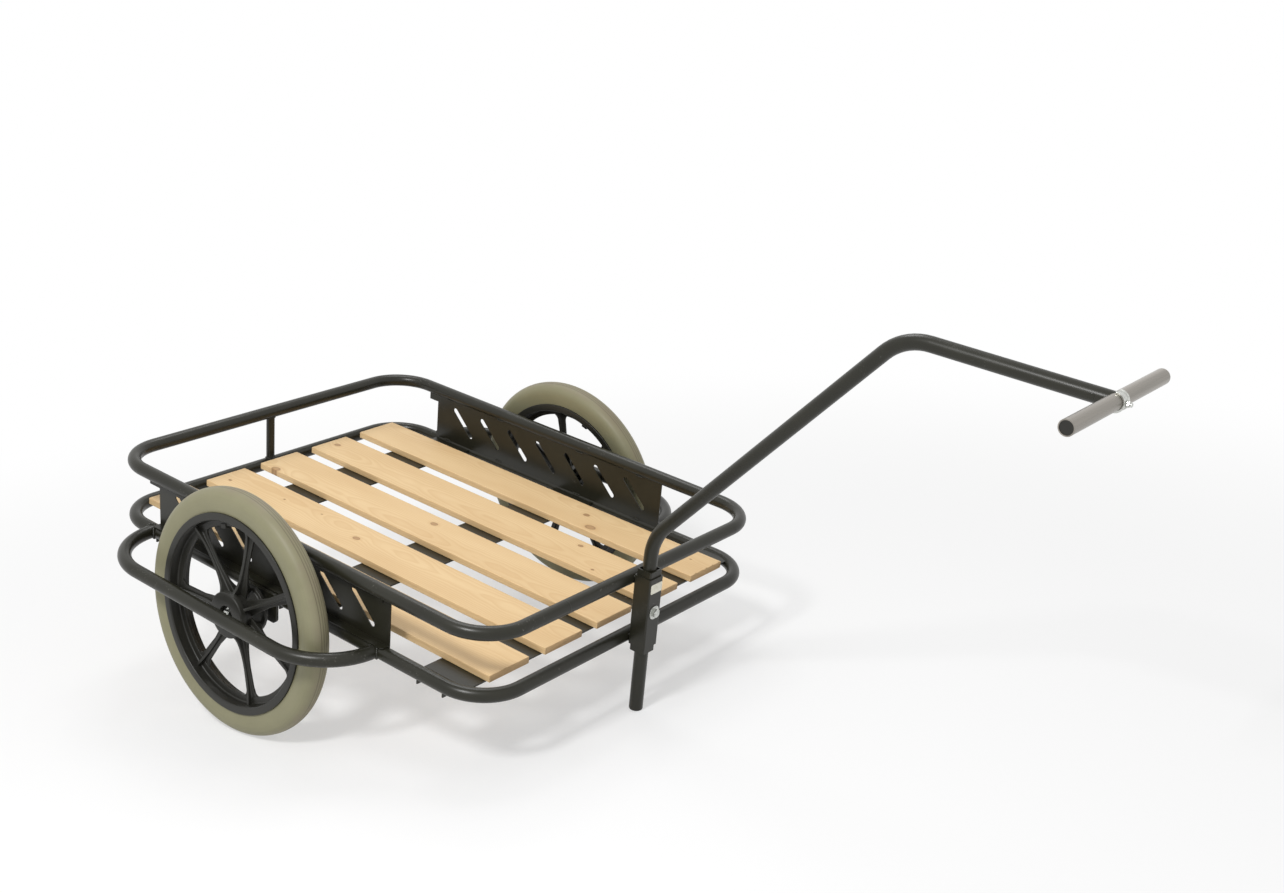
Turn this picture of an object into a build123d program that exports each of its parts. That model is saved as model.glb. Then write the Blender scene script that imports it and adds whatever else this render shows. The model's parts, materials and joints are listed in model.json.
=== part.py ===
"""A two-wheeled hand cart with a slatted deck between tube rails, parked on its front leg.

Everything is drawn with the deck level: X forward from the axles, Y to the left, Z up from the
plane that the wheels stand on. The finished pieces are then turned about the axles until the
foot of the leg meets the floor, which is how the cart parks. Lengths are in millimetres.
"""

from build123d import *
import math
import os

os.makedirs("parts", exist_ok=True)

# Wheels
wheel_r = 250.0
tyre_w = 49.0
rail_to_wheel = 75.5
camber = 3.7
right_spoke_turn = 18.0
left_spoke_turn = -15.9
rim_r = 203.0
rim_w = 43.0
rim_depth = 31.0
rim_wall = 4.0
rim_lip = 14.0
bead_depth = 22.0
bead_inset = 6.0
spoke_count = 7
spoke_root_w = 39.0
spoke_waist_w = 17.0
spoke_foot_w = 24.0
spoke_foot_fillet = 14.0
spoke_t = 7.0
spoke_rib_t = 6.0
spoke_rib_root = 38.0
spoke_rib_foot = 26.0
valve_w = 16.0
valve_h = 5.0
valve_t = 14.0
valve_corner = 2.0
hub_r = 35.0
hub_flange_r = 50.0
hub_flange_t = 8.0
hub_collar_r = 41.0
hub_out = 36.0
hub_in = 26.0
recess_r = 19.0
recess_deep = 17.0

# Axles
axle_r = 10.0
axle_running_gap = 0.05
axle_side_gap = 1.0
collar_r = 17.0
stud_r = 6.0
stud_len = 12.0
nut_across = 19.0
nut_t = 9.0
washer_r = 14.0
washer_t = 2.0
carrier_w = 90.0
carrier_h = 62.0
carrier_t = 6.0
carrier_corner = 12.0

# Rails, guards and drawbar are bent from one size of tube
tube_r = 14.0
tube_wall = 2.0
loop_rear = -503.0
loop_front = 588.0
loop_half = 413.5
loop_corner = 95.0
rail_over_hub = 17.0
rail_rise = 127.0
post_r = 9.5

# Wheel guards
wheel_to_guard = 63.5
guard_start = 7.0
guard_rear = -371.0
guard_front = 312.0

# Side panels
panel_inset = 8.5
panel_t = 2.0
panel_mid = -13.0
panel_len = 700.0
flange_w = 20.0
flange_corner = 10.0
lip_over = 30.0
lip_short = 20.0
lip_h = 14.0
lip_tuck = 4.0
slot_count = 7
slot_pitch = 89.7
slot_len = 86.0
slot_w = 12.0
slot_shift = 6.0
slot_over_rail = 69.0
slot_lean = 43.5

# Deck
slat_count = 5
slat_w = 108.0
slat_gap = 43.5
slat_t = 15.0
slat_over_rail = 23.5
slat_rear_inset = 31.0
slat_front_inset = 40.0
slat_edge = 2.0
bearer_wall = 3.0
bearer_deep = 29.5
bearer_rear_w = 66.0
bearer_front_w = 46.0
bearer_over = 6.5
bearer_lift = 1.5
rear_bearer_inset = 143.0
middle_bearer_x = 37.0
front_bearer_inset = 163.0

# Front sleeve, drawbar and leg
sleeve_w = 40.0
sleeve_wall = 2.4
sleeve_corner = 3.0
sleeve_under_rail = 11.0
sleeve_over_rail = 12.0
liner_gap = 0.1
drawbar_gap = 0.5
liner_corner = 3.5
liner_proud = 14.0
knee_rise = 65.0
drawbar_high = 1020.0
drawbar_neck = 1086.5
drawbar_bend = 110.0
park_angle = 10.0
foot_plug_t = 3.0
foot_plug_deep = 14.0
bolt_over_rail = 65.0
bolt_r = 5.0
bolt_head_across = 16.0
bolt_head_t = 6.5
bolt_tail = 4.0
bolt_gap = 0.2
bolt_washer_r = 14.0
bolt_washer_t = 2.0

# Crossbar handle
handle_x = 1456.0
handle_len = 350.0
handle_r = 13.5
handle_wall = 2.0
handle_plug_inset = 1.0
handle_plug_deep = 12.0
clamp_w = 20.0
clamp_t = 2.5
clamp_bolt_r = 4.0
clamp_bolt_head_r = 5.5
clamp_bolt_head_t = 9.0
clamp_bolt_tail = 30.0

# Worked out from the sizes above
lower_z = wheel_r + rail_over_hub
upper_z = lower_z + rail_rise
track_half = loop_half + rail_to_wheel
guard_out = track_half + wheel_to_guard
guard_bend = guard_out - loop_half - guard_start
panel_y = loop_half - panel_inset
slot_mid = panel_mid + slot_shift
slot_z = lower_z + slot_over_rail
slat_top = lower_z + slat_over_rail
slat_rear = loop_rear + slat_rear_inset
slat_front = loop_front - slat_front_inset
bearer_reach = loop_half + bearer_over
rear_bearer_x = loop_rear + rear_bearer_inset
front_bearer_x = loop_front - front_bearer_inset
sleeve_x = loop_front + tube_r + sleeve_w / 2
sleeve_bottom = lower_z - sleeve_under_rail
sleeve_top = upper_z + sleeve_over_rail
liner_w = sleeve_w - 2 * sleeve_wall - 2 * liner_gap
liner_wall = liner_w / 2 - tube_r - drawbar_gap
drawbar_knee = sleeve_top + liner_proud + knee_rise
bolt_z = lower_z + bolt_over_rail
turn = math.radians(park_angle)
foot_reach = sleeve_x + tube_r
crown = tyre_w / 2
axle_rise = math.sin(math.radians(camber)) * math.cos(turn)
axle_z = (wheel_r - crown) * math.sqrt(1 - axle_rise**2) + crown
foot_z = axle_z - (axle_z - foot_reach * math.sin(turn)) / math.cos(turn)
rear_most = (loop_rear * math.cos(turn) + (lower_z - axle_z) * math.sin(turn)) - tube_r
bolt_tip = handle_x + handle_r + clamp_t + clamp_bolt_head_t
front_most = (
    bolt_tip * math.cos(turn) + (drawbar_high - axle_z + clamp_bolt_head_r) * math.sin(turn)
)
along = -(rear_most + front_most) / 2
parked = Location((along, 0, axle_z), (0, park_angle, 0)) * Location((0, 0, -axle_z))

# Rails: two closed loops of tube, one above the other
rail_table = (  # name, height of the tube's centre
    ("upper_rail", upper_z),
    ("lower_rail", lower_z),
)
rails = {}
for name, height in rail_table:
    with BuildPart() as rail:
        with BuildLine(Plane.XY.offset(height)) as run:
            FilletPolyline(
                (loop_front, -loop_half),
                (loop_front, loop_half),
                (loop_rear, loop_half),
                (loop_rear, -loop_half),
                radius=loop_corner,
                close=True,
            )
        with BuildSketch(Plane(origin=run.line @ 0, z_dir=run.line % 0)):
            Circle(tube_r)
        sweep()
    rail.part.label = name
    export_step(rail.part.moved(parked), f"parts/{name}.step")
    rails[name] = rail.part

# Rear post between the two back tubes
with BuildPart() as rear_post:
    with BuildSketch(Plane.XY.offset(lower_z)):
        with Locations((loop_rear, 0)):
            Circle(post_r)
    extrude(amount=upper_z - lower_z)
    add(rails["upper_rail"], mode=Mode.SUBTRACT)
    add(rails["lower_rail"], mode=Mode.SUBTRACT)
rear_post.part.label = "rear_post"
export_step(rear_post.part.moved(parked), "parts/rear_post.step")

# Wheel guards: half loops of the same tube outside each wheel, welded to the lower rail. Each is one
# bent tube, drawn as a bar and two bends that meet face to face
side_table = (  # name, side
    ("right", -1),
    ("left", 1),
)
bend_table = (  # name, place of its foot on the rail, way to the bar
    ("rear_bend", guard_rear, 1),
    ("front_bend", guard_front, -1),
)
for side_name, side in side_table:
    bar_start = (guard_rear + guard_bend, side * guard_out, lower_z)
    with BuildPart() as guard:
        with BuildSketch(Plane(origin=bar_start, x_dir=(0, 1, 0), z_dir=(1, 0, 0))):
            Circle(tube_r)
        extrude(amount=guard_front - guard_rear - 2 * guard_bend)
    guard.part.label = f"{side_name}_guard"
    export_step(guard.part.moved(parked), f"parts/{side_name}_guard.step")

    for bend_name, x, way in bend_table:
        foot_y = side * (guard_out - guard_bend)
        with BuildPart() as guard_end:
            with BuildLine(Plane.XY.offset(lower_z)) as run:
                RadiusArc((x, foot_y), (x + way * guard_bend, side * guard_out), side * way * guard_bend)
            with BuildSketch(Plane(origin=run.line @ 0, z_dir=run.line % 0)):
                Circle(tube_r)
            sweep()
            add(rails["lower_rail"], mode=Mode.SUBTRACT)
        guard_end.part.label = f"{side_name}_guard_{bend_name}"
        export_step(guard_end.part.moved(parked), f"parts/{side_name}_guard_{bend_name}.step")

# Side panels: slotted sheet between the rails, with a foot turned out over the lower rail and a
# lip folded outward below the upper rail, which runs past the panel's rear edge
lip_z = upper_z - tube_r - (lip_h - lip_tuck) / 2
for side_name, side in side_table:
    outward = Plane(origin=(0, side * (panel_y - panel_t / 2), 0), x_dir=(1, 0, 0), z_dir=(0, side, 0))
    up = -side
    with BuildPart() as panel:
        with BuildSketch(outward):
            with Locations((panel_mid, up * (lower_z + upper_z) / 2)):
                Rectangle(panel_len, upper_z - lower_z)
            with Locations(
                *[
                    (slot_mid + (n - (slot_count - 1) / 2) * slot_pitch, up * slot_z)
                    for n in range(slot_count)
                ]
            ):
                SlotOverall(slot_len, slot_w, rotation=-up * slot_lean, mode=Mode.SUBTRACT)
        extrude(amount=panel_t)
        with BuildSketch(outward.offset(panel_t)):
            with Locations((panel_mid - (lip_over + lip_short) / 2, up * lip_z)):
                Rectangle(panel_len + lip_over - lip_short, lip_h + lip_tuck)
        extrude(amount=panel_t)
        with BuildSketch(Plane.XY.offset(lower_z + tube_r)) as foot:
            with Locations((panel_mid, side * (panel_y + flange_w / 2))):
                Rectangle(panel_len, flange_w)
            fillet(foot.vertices().group_by(Axis.Y)[0 if side < 0 else -1], radius=flange_corner)
        extrude(amount=panel_t)
        add(rails["upper_rail"], mode=Mode.SUBTRACT)
        add(rails["lower_rail"], mode=Mode.SUBTRACT)
    print(side_name, "panel solids", len(panel.part.solids()))
    panel.part.label = f"{side_name}_panel"
    export_step(panel.part.moved(parked), f"parts/{side_name}_panel.step")

# Deck slats
slat_pitch = slat_w + slat_gap
for number in range(slat_count):
    with BuildPart() as slat:
        with BuildSketch(Plane.XY.offset(slat_top - slat_t)):
            with Locations(((slat_rear + slat_front) / 2, (number - (slat_count - 1) / 2) * slat_pitch)):
                Rectangle(slat_front - slat_rear, slat_w)
        extrude(amount=slat_t)
        fillet(slat.edges().filter_by(Axis.X), radius=slat_edge)
    slat.part.label = f"slat_{number + 1}"
    export_step(slat.part.moved(parked), f"parts/slat_{number + 1}.step")

# Bearers: pairs of angle bars under the slats, coped to the lower rail and reaching under it
deck_under = slat_top - slat_t
bearer_table = (  # name, place of the upright's back face, width of the lying leg
    ("rear_bearer_1", rear_bearer_x, bearer_rear_w),
    ("rear_bearer_2", rear_bearer_x + bearer_rear_w, bearer_front_w),
    ("middle_bearer_1", middle_bearer_x, bearer_rear_w),
    ("middle_bearer_2", middle_bearer_x + bearer_rear_w, bearer_front_w),
    ("front_bearer_1", front_bearer_x, bearer_rear_w),
    ("front_bearer_2", front_bearer_x + bearer_rear_w, bearer_front_w),
)
for name, x, width in bearer_table:
    with BuildPart() as bearer:
        with BuildSketch(Plane.XZ):
            with Locations((x + width / 2, deck_under - bearer_wall / 2)):
                Rectangle(width, bearer_wall)
            with Locations((x + bearer_wall / 2, deck_under - bearer_deep / 2)):
                Rectangle(bearer_wall, bearer_deep)
        extrude(amount=loop_half - tube_r + bearer_lift, both=True)
        with BuildSketch(Plane.XY.offset(deck_under - bearer_deep)):
            with Locations((x + bearer_wall / 2, 0)):
                Rectangle(bearer_wall, 2 * bearer_reach)
        extrude(amount=lower_z - tube_r - (deck_under - bearer_deep) + bearer_lift)
        add(rails["lower_rail"], mode=Mode.SUBTRACT)
    print(name, "solids", len(bearer.part.solids()))
    bearer.part.label = name
    export_step(bearer.part.moved(parked), f"parts/{name}.step")

# Sleeve: a square tube welded in front of both rails, and a liner that stands proud of it
sleeve_table = (  # name, width, wall, corner, bottom, top
    ("sleeve", sleeve_w, sleeve_wall, sleeve_corner, sleeve_bottom, sleeve_top),
    ("liner", liner_w, liner_wall, liner_corner, sleeve_bottom - liner_proud, sleeve_top + liner_proud),
)
for name, width, wall, corner, bottom, top in sleeve_table:
    with BuildPart() as square:
        with BuildSketch(Plane.XY.offset(bottom)):
            with Locations((sleeve_x, 0)):
                RectangleRounded(width, width, corner)
                RectangleRounded(width - 2 * wall, width - 2 * wall, corner / 2, mode=Mode.SUBTRACT)
        extrude(amount=top - bottom)
        with BuildSketch(Plane(origin=(sleeve_x, 0, bolt_z), x_dir=(0, 1, 0), z_dir=(1, 0, 0))):
            Circle(bolt_r + bolt_gap)
        extrude(amount=width, both=True, mode=Mode.SUBTRACT)
    square.part.label = name
    export_step(square.part.moved(parked), f"parts/{name}.step")

# Drawbar: one bent tube, whose lower end is the leg that the cart parks on
with BuildPart() as drawbar:
    with BuildLine(Plane.XZ) as run:
        FilletPolyline(
            (sleeve_x, foot_z + foot_plug_t),
            (sleeve_x, drawbar_knee),
            (drawbar_neck, drawbar_high),
            (handle_x, drawbar_high),
            radius=drawbar_bend,
        )
    with BuildSketch(Plane(origin=run.line @ 0, z_dir=run.line % 0)):
        Circle(tube_r)
        Circle(tube_r - tube_wall, mode=Mode.SUBTRACT)
    sweep()
    with BuildSketch(Plane.XZ):
        with Locations((handle_x, drawbar_high)):
            Circle(handle_r)
    extrude(amount=handle_len / 2, both=True, mode=Mode.SUBTRACT)
    with BuildSketch(Plane(origin=(sleeve_x, 0, bolt_z), x_dir=(0, 1, 0), z_dir=(1, 0, 0))):
        Circle(bolt_r + bolt_gap)
    extrude(amount=sleeve_w, both=True, mode=Mode.SUBTRACT)
print("drawbar solids", len(drawbar.part.solids()))
drawbar.part.label = "drawbar"
export_step(drawbar.part.moved(parked), "parts/drawbar.step")

# Plug that closes the foot of the drawbar
with BuildPart() as foot_plug:
    with BuildSketch(Plane.XY.offset(foot_z)):
        with Locations((sleeve_x, 0)):
            Circle(tube_r)
    extrude(amount=foot_plug_t)
    with BuildSketch(Plane.XY.offset(foot_z + foot_plug_t)):
        with Locations((sleeve_x, 0)):
            Circle(tube_r - tube_wall)
    extrude(amount=foot_plug_deep)
foot_plug.part.label = "foot_plug"
export_step(foot_plug.part.moved(parked), "parts/foot_plug.step")

# Bolt that holds the drawbar and the liner in the sleeve
front_face = sleeve_x + sleeve_w / 2
back_face = sleeve_x - sleeve_w / 2
with BuildPart() as sleeve_bolt:
    with BuildSketch(Plane(origin=(front_face, 0, bolt_z), x_dir=(0, 1, 0), z_dir=(1, 0, 0))):
        Circle(bolt_washer_r)
    extrude(amount=bolt_washer_t)
    with BuildSketch(Plane(origin=(front_face + bolt_washer_t, 0, bolt_z), x_dir=(0, 1, 0), z_dir=(1, 0, 0))):
        RegularPolygon(bolt_head_across / 2, 6, major_radius=False)
    extrude(amount=bolt_head_t)
    with BuildSketch(Plane(origin=(front_face, 0, bolt_z), x_dir=(0, 1, 0), z_dir=(-1, 0, 0))):
        Circle(bolt_r)
    extrude(amount=sleeve_w + bolt_head_t + bolt_tail)
sleeve_bolt.part.label = "sleeve_bolt"
export_step(sleeve_bolt.part.moved(parked), "parts/sleeve_bolt.step")

with BuildPart() as sleeve_nut:
    with BuildSketch(Plane(origin=(back_face, 0, bolt_z), x_dir=(0, 1, 0), z_dir=(-1, 0, 0))):
        RegularPolygon(bolt_head_across / 2, 6, major_radius=False)
        Circle(bolt_r, mode=Mode.SUBTRACT)
    extrude(amount=bolt_head_t)
sleeve_nut.part.label = "sleeve_nut"
export_step(sleeve_nut.part.moved(parked), "parts/sleeve_nut.step")

# Crossbar handle
with BuildPart() as handle:
    with BuildSketch(Plane.XZ):
        with Locations((handle_x, drawbar_high)):
            Circle(handle_r)
            Circle(handle_r - handle_wall, mode=Mode.SUBTRACT)
    extrude(amount=handle_len / 2, both=True)
    with BuildSketch(Plane(origin=(handle_x, 0, drawbar_high), x_dir=(0, 1, 0), z_dir=(1, 0, 0))):
        Circle(clamp_bolt_r)
    extrude(amount=handle_r + clamp_t, both=True, mode=Mode.SUBTRACT)
handle.part.label = "handle"
export_step(handle.part.moved(parked), "parts/handle.step")

# Plugs that close the crossbar's ends
for side_name, side in side_table:
    mouth = (handle_x, side * (handle_len / 2 - handle_plug_inset), drawbar_high)
    with BuildPart() as handle_plug:
        with BuildSketch(Plane(origin=mouth, x_dir=(1, 0, 0), z_dir=(0, -side, 0))):
            Circle(handle_r - handle_wall)
        extrude(amount=handle_plug_deep)
    handle_plug.part.label = f"{side_name}_handle_plug"
    export_step(handle_plug.part.moved(parked), f"parts/{side_name}_handle_plug.step")

# Strap round the crossbar, and its bolt
with BuildPart() as handle_strap:
    with BuildSketch(Plane.XZ):
        with Locations((handle_x, drawbar_high)):
            Circle(handle_r + clamp_t)
            Circle(handle_r, mode=Mode.SUBTRACT)
            with Locations((-handle_r, 0)):
                Rectangle(2 * handle_r, 2 * (handle_r + clamp_t), mode=Mode.SUBTRACT)
    extrude(amount=clamp_w / 2, both=True)
    with BuildSketch(Plane(origin=(handle_x, 0, drawbar_high), x_dir=(0, 1, 0), z_dir=(1, 0, 0))):
        Circle(clamp_bolt_r)
    extrude(amount=handle_r + 2 * clamp_t, mode=Mode.SUBTRACT)
handle_strap.part.label = "handle_strap"
export_step(handle_strap.part.moved(parked), "parts/handle_strap.step")

strap_face = handle_x + handle_r + clamp_t
with BuildPart() as handle_bolt:
    with BuildSketch(Plane(origin=(strap_face, 0, drawbar_high), x_dir=(0, 1, 0), z_dir=(-1, 0, 0))):
        Circle(clamp_bolt_r)
    extrude(amount=2 * handle_r + clamp_bolt_tail)
    with BuildSketch(Plane(origin=(strap_face, 0, drawbar_high), x_dir=(0, 1, 0), z_dir=(1, 0, 0))):
        Circle(clamp_bolt_head_r)
    extrude(amount=clamp_bolt_head_t)
handle_bolt.part.label = "handle_bolt"
export_step(handle_bolt.part.moved(parked), "parts/handle_bolt.step")

# One spoke of the wheel along X: a web that flares at both ends, and a rib that tapers outward
barrel_r = rim_r - rim_depth
spoke_mid = (hub_r + barrel_r) / 2
spoke_end = barrel_r + rim_wall
with BuildPart() as rib:
    with BuildSketch(Plane.XZ):
        Polygon(
            (hub_r - rim_wall, -spoke_rib_root / 2),
            (spoke_end, -spoke_rib_foot / 2),
            (spoke_end, spoke_rib_foot / 2),
            (hub_r - rim_wall, spoke_rib_root / 2),
            align=None,
        )
    extrude(amount=spoke_rib_t / 2, both=True)

# Wheels, drawn upright about their own axis and then leant in at the top: radius in the sketch's
# X, outward along its Y. The valve boss stands on the barrel opposite the first spoke
wheel_table = (  # name, side, turn of the first spoke forward from straight down
    ("right", -1, right_spoke_turn),
    ("left", 1, left_spoke_turn),
)
for side_name, side, spoke_turn in wheel_table:
    hub = (0, side * track_half, axle_z)
    leant = Location(hub, (side * camber, 0, 0)) * Location(hub).inverse()
    section = Plane(origin=hub, x_dir=(1, 0, 0), z_dir=(0, 0, -side))
    axis = Axis(hub, (0, 1, 0))
    with BuildPart() as tyre:
        with BuildSketch(section):
            with BuildLine():
                Polyline(
                    (wheel_r - crown, -crown),
                    (rim_r, -(rim_w / 2)),
                    (rim_r - bead_depth, -(rim_w / 2 - bead_inset)),
                    (rim_r - bead_depth, rim_w / 2 - bead_inset),
                    (rim_r, rim_w / 2),
                    (wheel_r - crown, crown),
                )
                ThreePointArc((wheel_r - crown, crown), (wheel_r, 0), (wheel_r - crown, -crown))
            make_face()
        revolve(axis=axis)
    tyre.part.label = f"{side_name}_tyre"
    export_step(tyre.part.moved(parked * leant), f"parts/{side_name}_tyre.step")

    face = Plane(origin=hub, x_dir=(1, 0, 0), z_dir=(0, side, 0))
    first_spoke = side * (90 - spoke_turn)
    with BuildPart() as wheel:
        with BuildSketch(section):
            with BuildLine():
                Polyline(
                    (rim_r, -(rim_w / 2 + rim_wall)),
                    (rim_r, -(rim_w / 2)),
                    (rim_r - bead_depth, -(rim_w / 2 - bead_inset)),
                    (rim_r - bead_depth, rim_w / 2 - bead_inset),
                    (rim_r, rim_w / 2),
                    (rim_r, rim_w / 2 + rim_wall),
                    (rim_r - rim_lip, rim_w / 2 + rim_wall),
                    (barrel_r, rim_w / 2 - rim_wall),
                    (barrel_r, -(rim_w / 2 - rim_wall)),
                    (rim_r - rim_lip, -(rim_w / 2 + rim_wall)),
                    close=True,
                )
            make_face()
        revolve(axis=axis)
        with BuildSketch(face.offset(-hub_in)):
            Circle(hub_flange_r)
        extrude(amount=hub_flange_t)
        with BuildSketch(face.offset(-hub_in)):
            Circle(hub_r)
        extrude(amount=hub_in + hub_out)
        with BuildSketch(face.offset(-hub_in)):
            Circle(hub_collar_r)
        extrude(amount=hub_in + spoke_t / 2)
        with BuildSketch(face) as web:
            Circle(spoke_end)
            Circle(barrel_r, mode=Mode.SUBTRACT)
            Circle(hub_r)
            with PolarLocations(0, spoke_count, start_angle=first_spoke):
                Polygon(
                    (0, -spoke_root_w / 2),
                    (spoke_mid, -spoke_waist_w / 2),
                    (spoke_end, -spoke_foot_w / 2),
                    (spoke_end, spoke_foot_w / 2),
                    (spoke_mid, spoke_waist_w / 2),
                    (0, spoke_root_w / 2),
                    align=None,
                )
            outer = [v for v in web.vertices() if math.hypot(v.X, v.Y) > spoke_mid + rim_wall]
            feet = [v for v in outer if math.hypot(v.X, v.Y) < spoke_end - rim_wall / 2]
            fillet(feet, radius=spoke_foot_fillet)
        extrude(amount=spoke_t / 2, both=True)
        for number in range(spoke_count):
            around = Location((0, 0, 0), (0, 0, first_spoke + number * 360 / spoke_count))
            add(rib.part.moved(face.location * around))
        with BuildSketch(face):
            with PolarLocations(barrel_r + (rim_wall - valve_h) / 2, 1, start_angle=first_spoke + 180):
                RectangleRounded(rim_wall + valve_h, valve_w, valve_corner)
        extrude(amount=valve_t / 2, both=True)
        with BuildSketch(face.offset(-hub_in - hub_out)):
            Circle(axle_r + axle_running_gap)
        extrude(amount=2 * (hub_in + hub_out), mode=Mode.SUBTRACT)
        with BuildSketch(face.offset(hub_out - recess_deep)):
            Circle(recess_r)
        extrude(amount=recess_deep, mode=Mode.SUBTRACT)
    print(side_name, "wheel solids", len(wheel.part.solids()))
    wheel.part.label = f"{side_name}_wheel"
    export_step(wheel.part.moved(parked * leant), f"parts/{side_name}_wheel.step")

    # Stub axle with its collar, welded to a plate outside the lower rail
    plate_y = loop_half + tube_r
    inner = Plane(origin=(0, side * plate_y, axle_z), x_dir=(1, 0, 0), z_dir=(0, side, 0))
    with BuildPart() as carrier:
        with BuildSketch(inner):
            RectangleRounded(carrier_w, carrier_h, carrier_corner)
        extrude(amount=carrier_t)
    carrier.part.label = f"{side_name}_axle_plate"
    export_step(carrier.part.moved(parked), f"parts/{side_name}_axle_plate.step")

    root = plate_y + carrier_t / 2
    stub = inner.offset(carrier_t / 2)
    shoulder = track_half + hub_out - recess_deep + axle_side_gap
    with BuildPart() as bar:
        with BuildSketch(stub):
            Circle(collar_r)
        extrude(amount=track_half - hub_in - axle_side_gap - root)
        with BuildSketch(stub):
            Circle(axle_r)
        extrude(amount=shoulder - root)
        with BuildSketch(stub):
            Circle(stud_r)
        extrude(amount=shoulder + stud_len - root)
    with BuildPart() as axle:
        add(bar.part.moved(leant))
        add(carrier.part, mode=Mode.SUBTRACT)
    axle.part.label = f"{side_name}_axle"
    export_step(axle.part.moved(parked), f"parts/{side_name}_axle.step")

    seat = inner.offset(shoulder - plate_y)
    with BuildPart() as axle_nut:
        with BuildSketch(seat):
            Circle(washer_r)
            Circle(stud_r, mode=Mode.SUBTRACT)
        extrude(amount=washer_t)
        with BuildSketch(seat.offset(washer_t)):
            RegularPolygon(nut_across / 2, 6, major_radius=False)
            Circle(stud_r, mode=Mode.SUBTRACT)
        extrude(amount=nut_t)
    axle_nut.part.label = f"{side_name}_axle_nut"
    export_step(axle_nut.part.moved(parked * leant), f"parts/{side_name}_axle_nut.step")

print("axle height", round(axle_z, 2), "foot height", round(foot_z, 1), "shift along", round(along, 2))
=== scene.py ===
# %% [markdown]
# # A two-wheeled hand cart, parked on its leg
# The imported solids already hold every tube, plate and joint of the cart at its real size. This
# scene gives them their looks: a moulded wheel with rounded ribs, a tyre with mould lines, sawn
# pine boards, rippled welds, bolts, and a procedural material for every finish. It begins with the
# solids, because each new piece is placed against them.

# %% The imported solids
import json
import math

import bpy
import numpy as np
from mathutils import Matrix, Vector


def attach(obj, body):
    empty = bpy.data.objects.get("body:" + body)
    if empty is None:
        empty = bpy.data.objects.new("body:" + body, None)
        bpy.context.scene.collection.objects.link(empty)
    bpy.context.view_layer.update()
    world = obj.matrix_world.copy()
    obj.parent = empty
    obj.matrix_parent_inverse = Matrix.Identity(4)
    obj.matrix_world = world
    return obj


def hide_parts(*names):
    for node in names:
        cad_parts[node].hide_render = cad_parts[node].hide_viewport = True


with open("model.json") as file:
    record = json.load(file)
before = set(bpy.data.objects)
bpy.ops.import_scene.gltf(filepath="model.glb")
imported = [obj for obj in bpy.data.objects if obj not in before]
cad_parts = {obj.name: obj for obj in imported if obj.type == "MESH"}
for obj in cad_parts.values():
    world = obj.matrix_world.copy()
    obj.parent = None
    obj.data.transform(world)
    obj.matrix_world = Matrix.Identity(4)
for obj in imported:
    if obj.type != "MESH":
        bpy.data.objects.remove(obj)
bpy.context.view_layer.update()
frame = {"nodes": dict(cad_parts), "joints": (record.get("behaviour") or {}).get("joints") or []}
scene = bpy.context.scene

# %% [markdown]
# The cart is drawn with its deck level, then tipped about its axles until the leg meets the floor,
# and both wheels lean in at the top. Placing a board or a bolt is easiest on the level cart, so
# every piece is worked out there, in metres, X forward from the axles, Y to the left and Z up, and
# tipped at the end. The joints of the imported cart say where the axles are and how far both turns
# go, so nothing has to be repeated here.

# %% Axles, parking turn and lean, read from the joints
axles = {joint["child"]: joint for joint in frame["joints"]}
left_axle = axles["left_wheel_body"]
ALONG, TRACK, AXLE_Z = left_axle["pos_m"]
aim = left_axle["axis"]
PARK = math.atan2(aim[0], aim[2])
LEAN = math.atan2(math.hypot(aim[0], aim[2]), aim[1])
SIDES = (("right", -1), ("left", 1))
X, Y, Z = (1, 0, 0), (0, 1, 0), (0, 0, 1)
print("tipped", round(math.degrees(PARK), 3), "lean", round(math.degrees(LEAN), 3), "hubs at", AXLE_Z)


def parked(points):
    """Level points, tipped: x' = A + x cos t + (z - R) sin t and z' = R - x sin t + (z - R) cos t."""
    x, y, z = np.moveaxis(np.asarray(points, float), -1, 0)
    up = z - AXLE_Z
    c, s = math.cos(PARK), math.sin(PARK)
    return np.stack([ALONG + x * c + up * s, y, AXLE_Z - x * s + up * c], -1)


def on_wheel(points, side):
    """Hub points (forward, o outward, u up), leant by f: y = so cos f - u sin f, z = so sin f + u cos f."""
    forward, out, up = np.moveaxis(np.asarray(points, float), -1, 0)
    c, s = math.cos(side * LEAN), math.sin(side * LEAN)
    y = side * out * c - up * s
    z = side * out * s + up * c
    return np.stack([forward, side * TRACK + y, AXLE_Z + z], -1)


# %% [markdown]
# Sizes of the level cart that more than one piece uses. They are the real cart's stock sizes, as
# the solids have them: tube, rails, deck, sleeve and crossbar.

# %% Sizes of the level cart
TUBE = 0.014
RAIL_Y = 0.4135
LOWER_Z, UPPER_Z = 0.267, 0.394
REAR_X, FRONT_X = -0.503, 0.588
GUARD_X = (-0.371, 0.312)
SLAT_TOP = 0.2905
SLEEVE_X, SLEEVE_HALF = 0.622, 0.020
SLEEVE_BOTTOM = 0.256
BOLT_Z = 0.332
HANDLE_X, HANDLE_Z, HANDLE_R = 1.456, 1.020, 0.0135
FOOT_Z = AXLE_Z - (AXLE_Z - (SLEEVE_X + TUBE) * math.sin(PARK)) / math.cos(PARK)
print("level height of the leg's end", round(FOOT_Z, 5))

# %% [markdown]
# Every new piece is a grid of points, worked out as whole arrays, with a quad between each four
# neighbours. A closed shape has to face outward everywhere, or its shading and its exported mesh
# turn inside out. Its volume, summed over its faces, tells which way they point, so one small test
# replaces any guessing about the order of corners.

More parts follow.
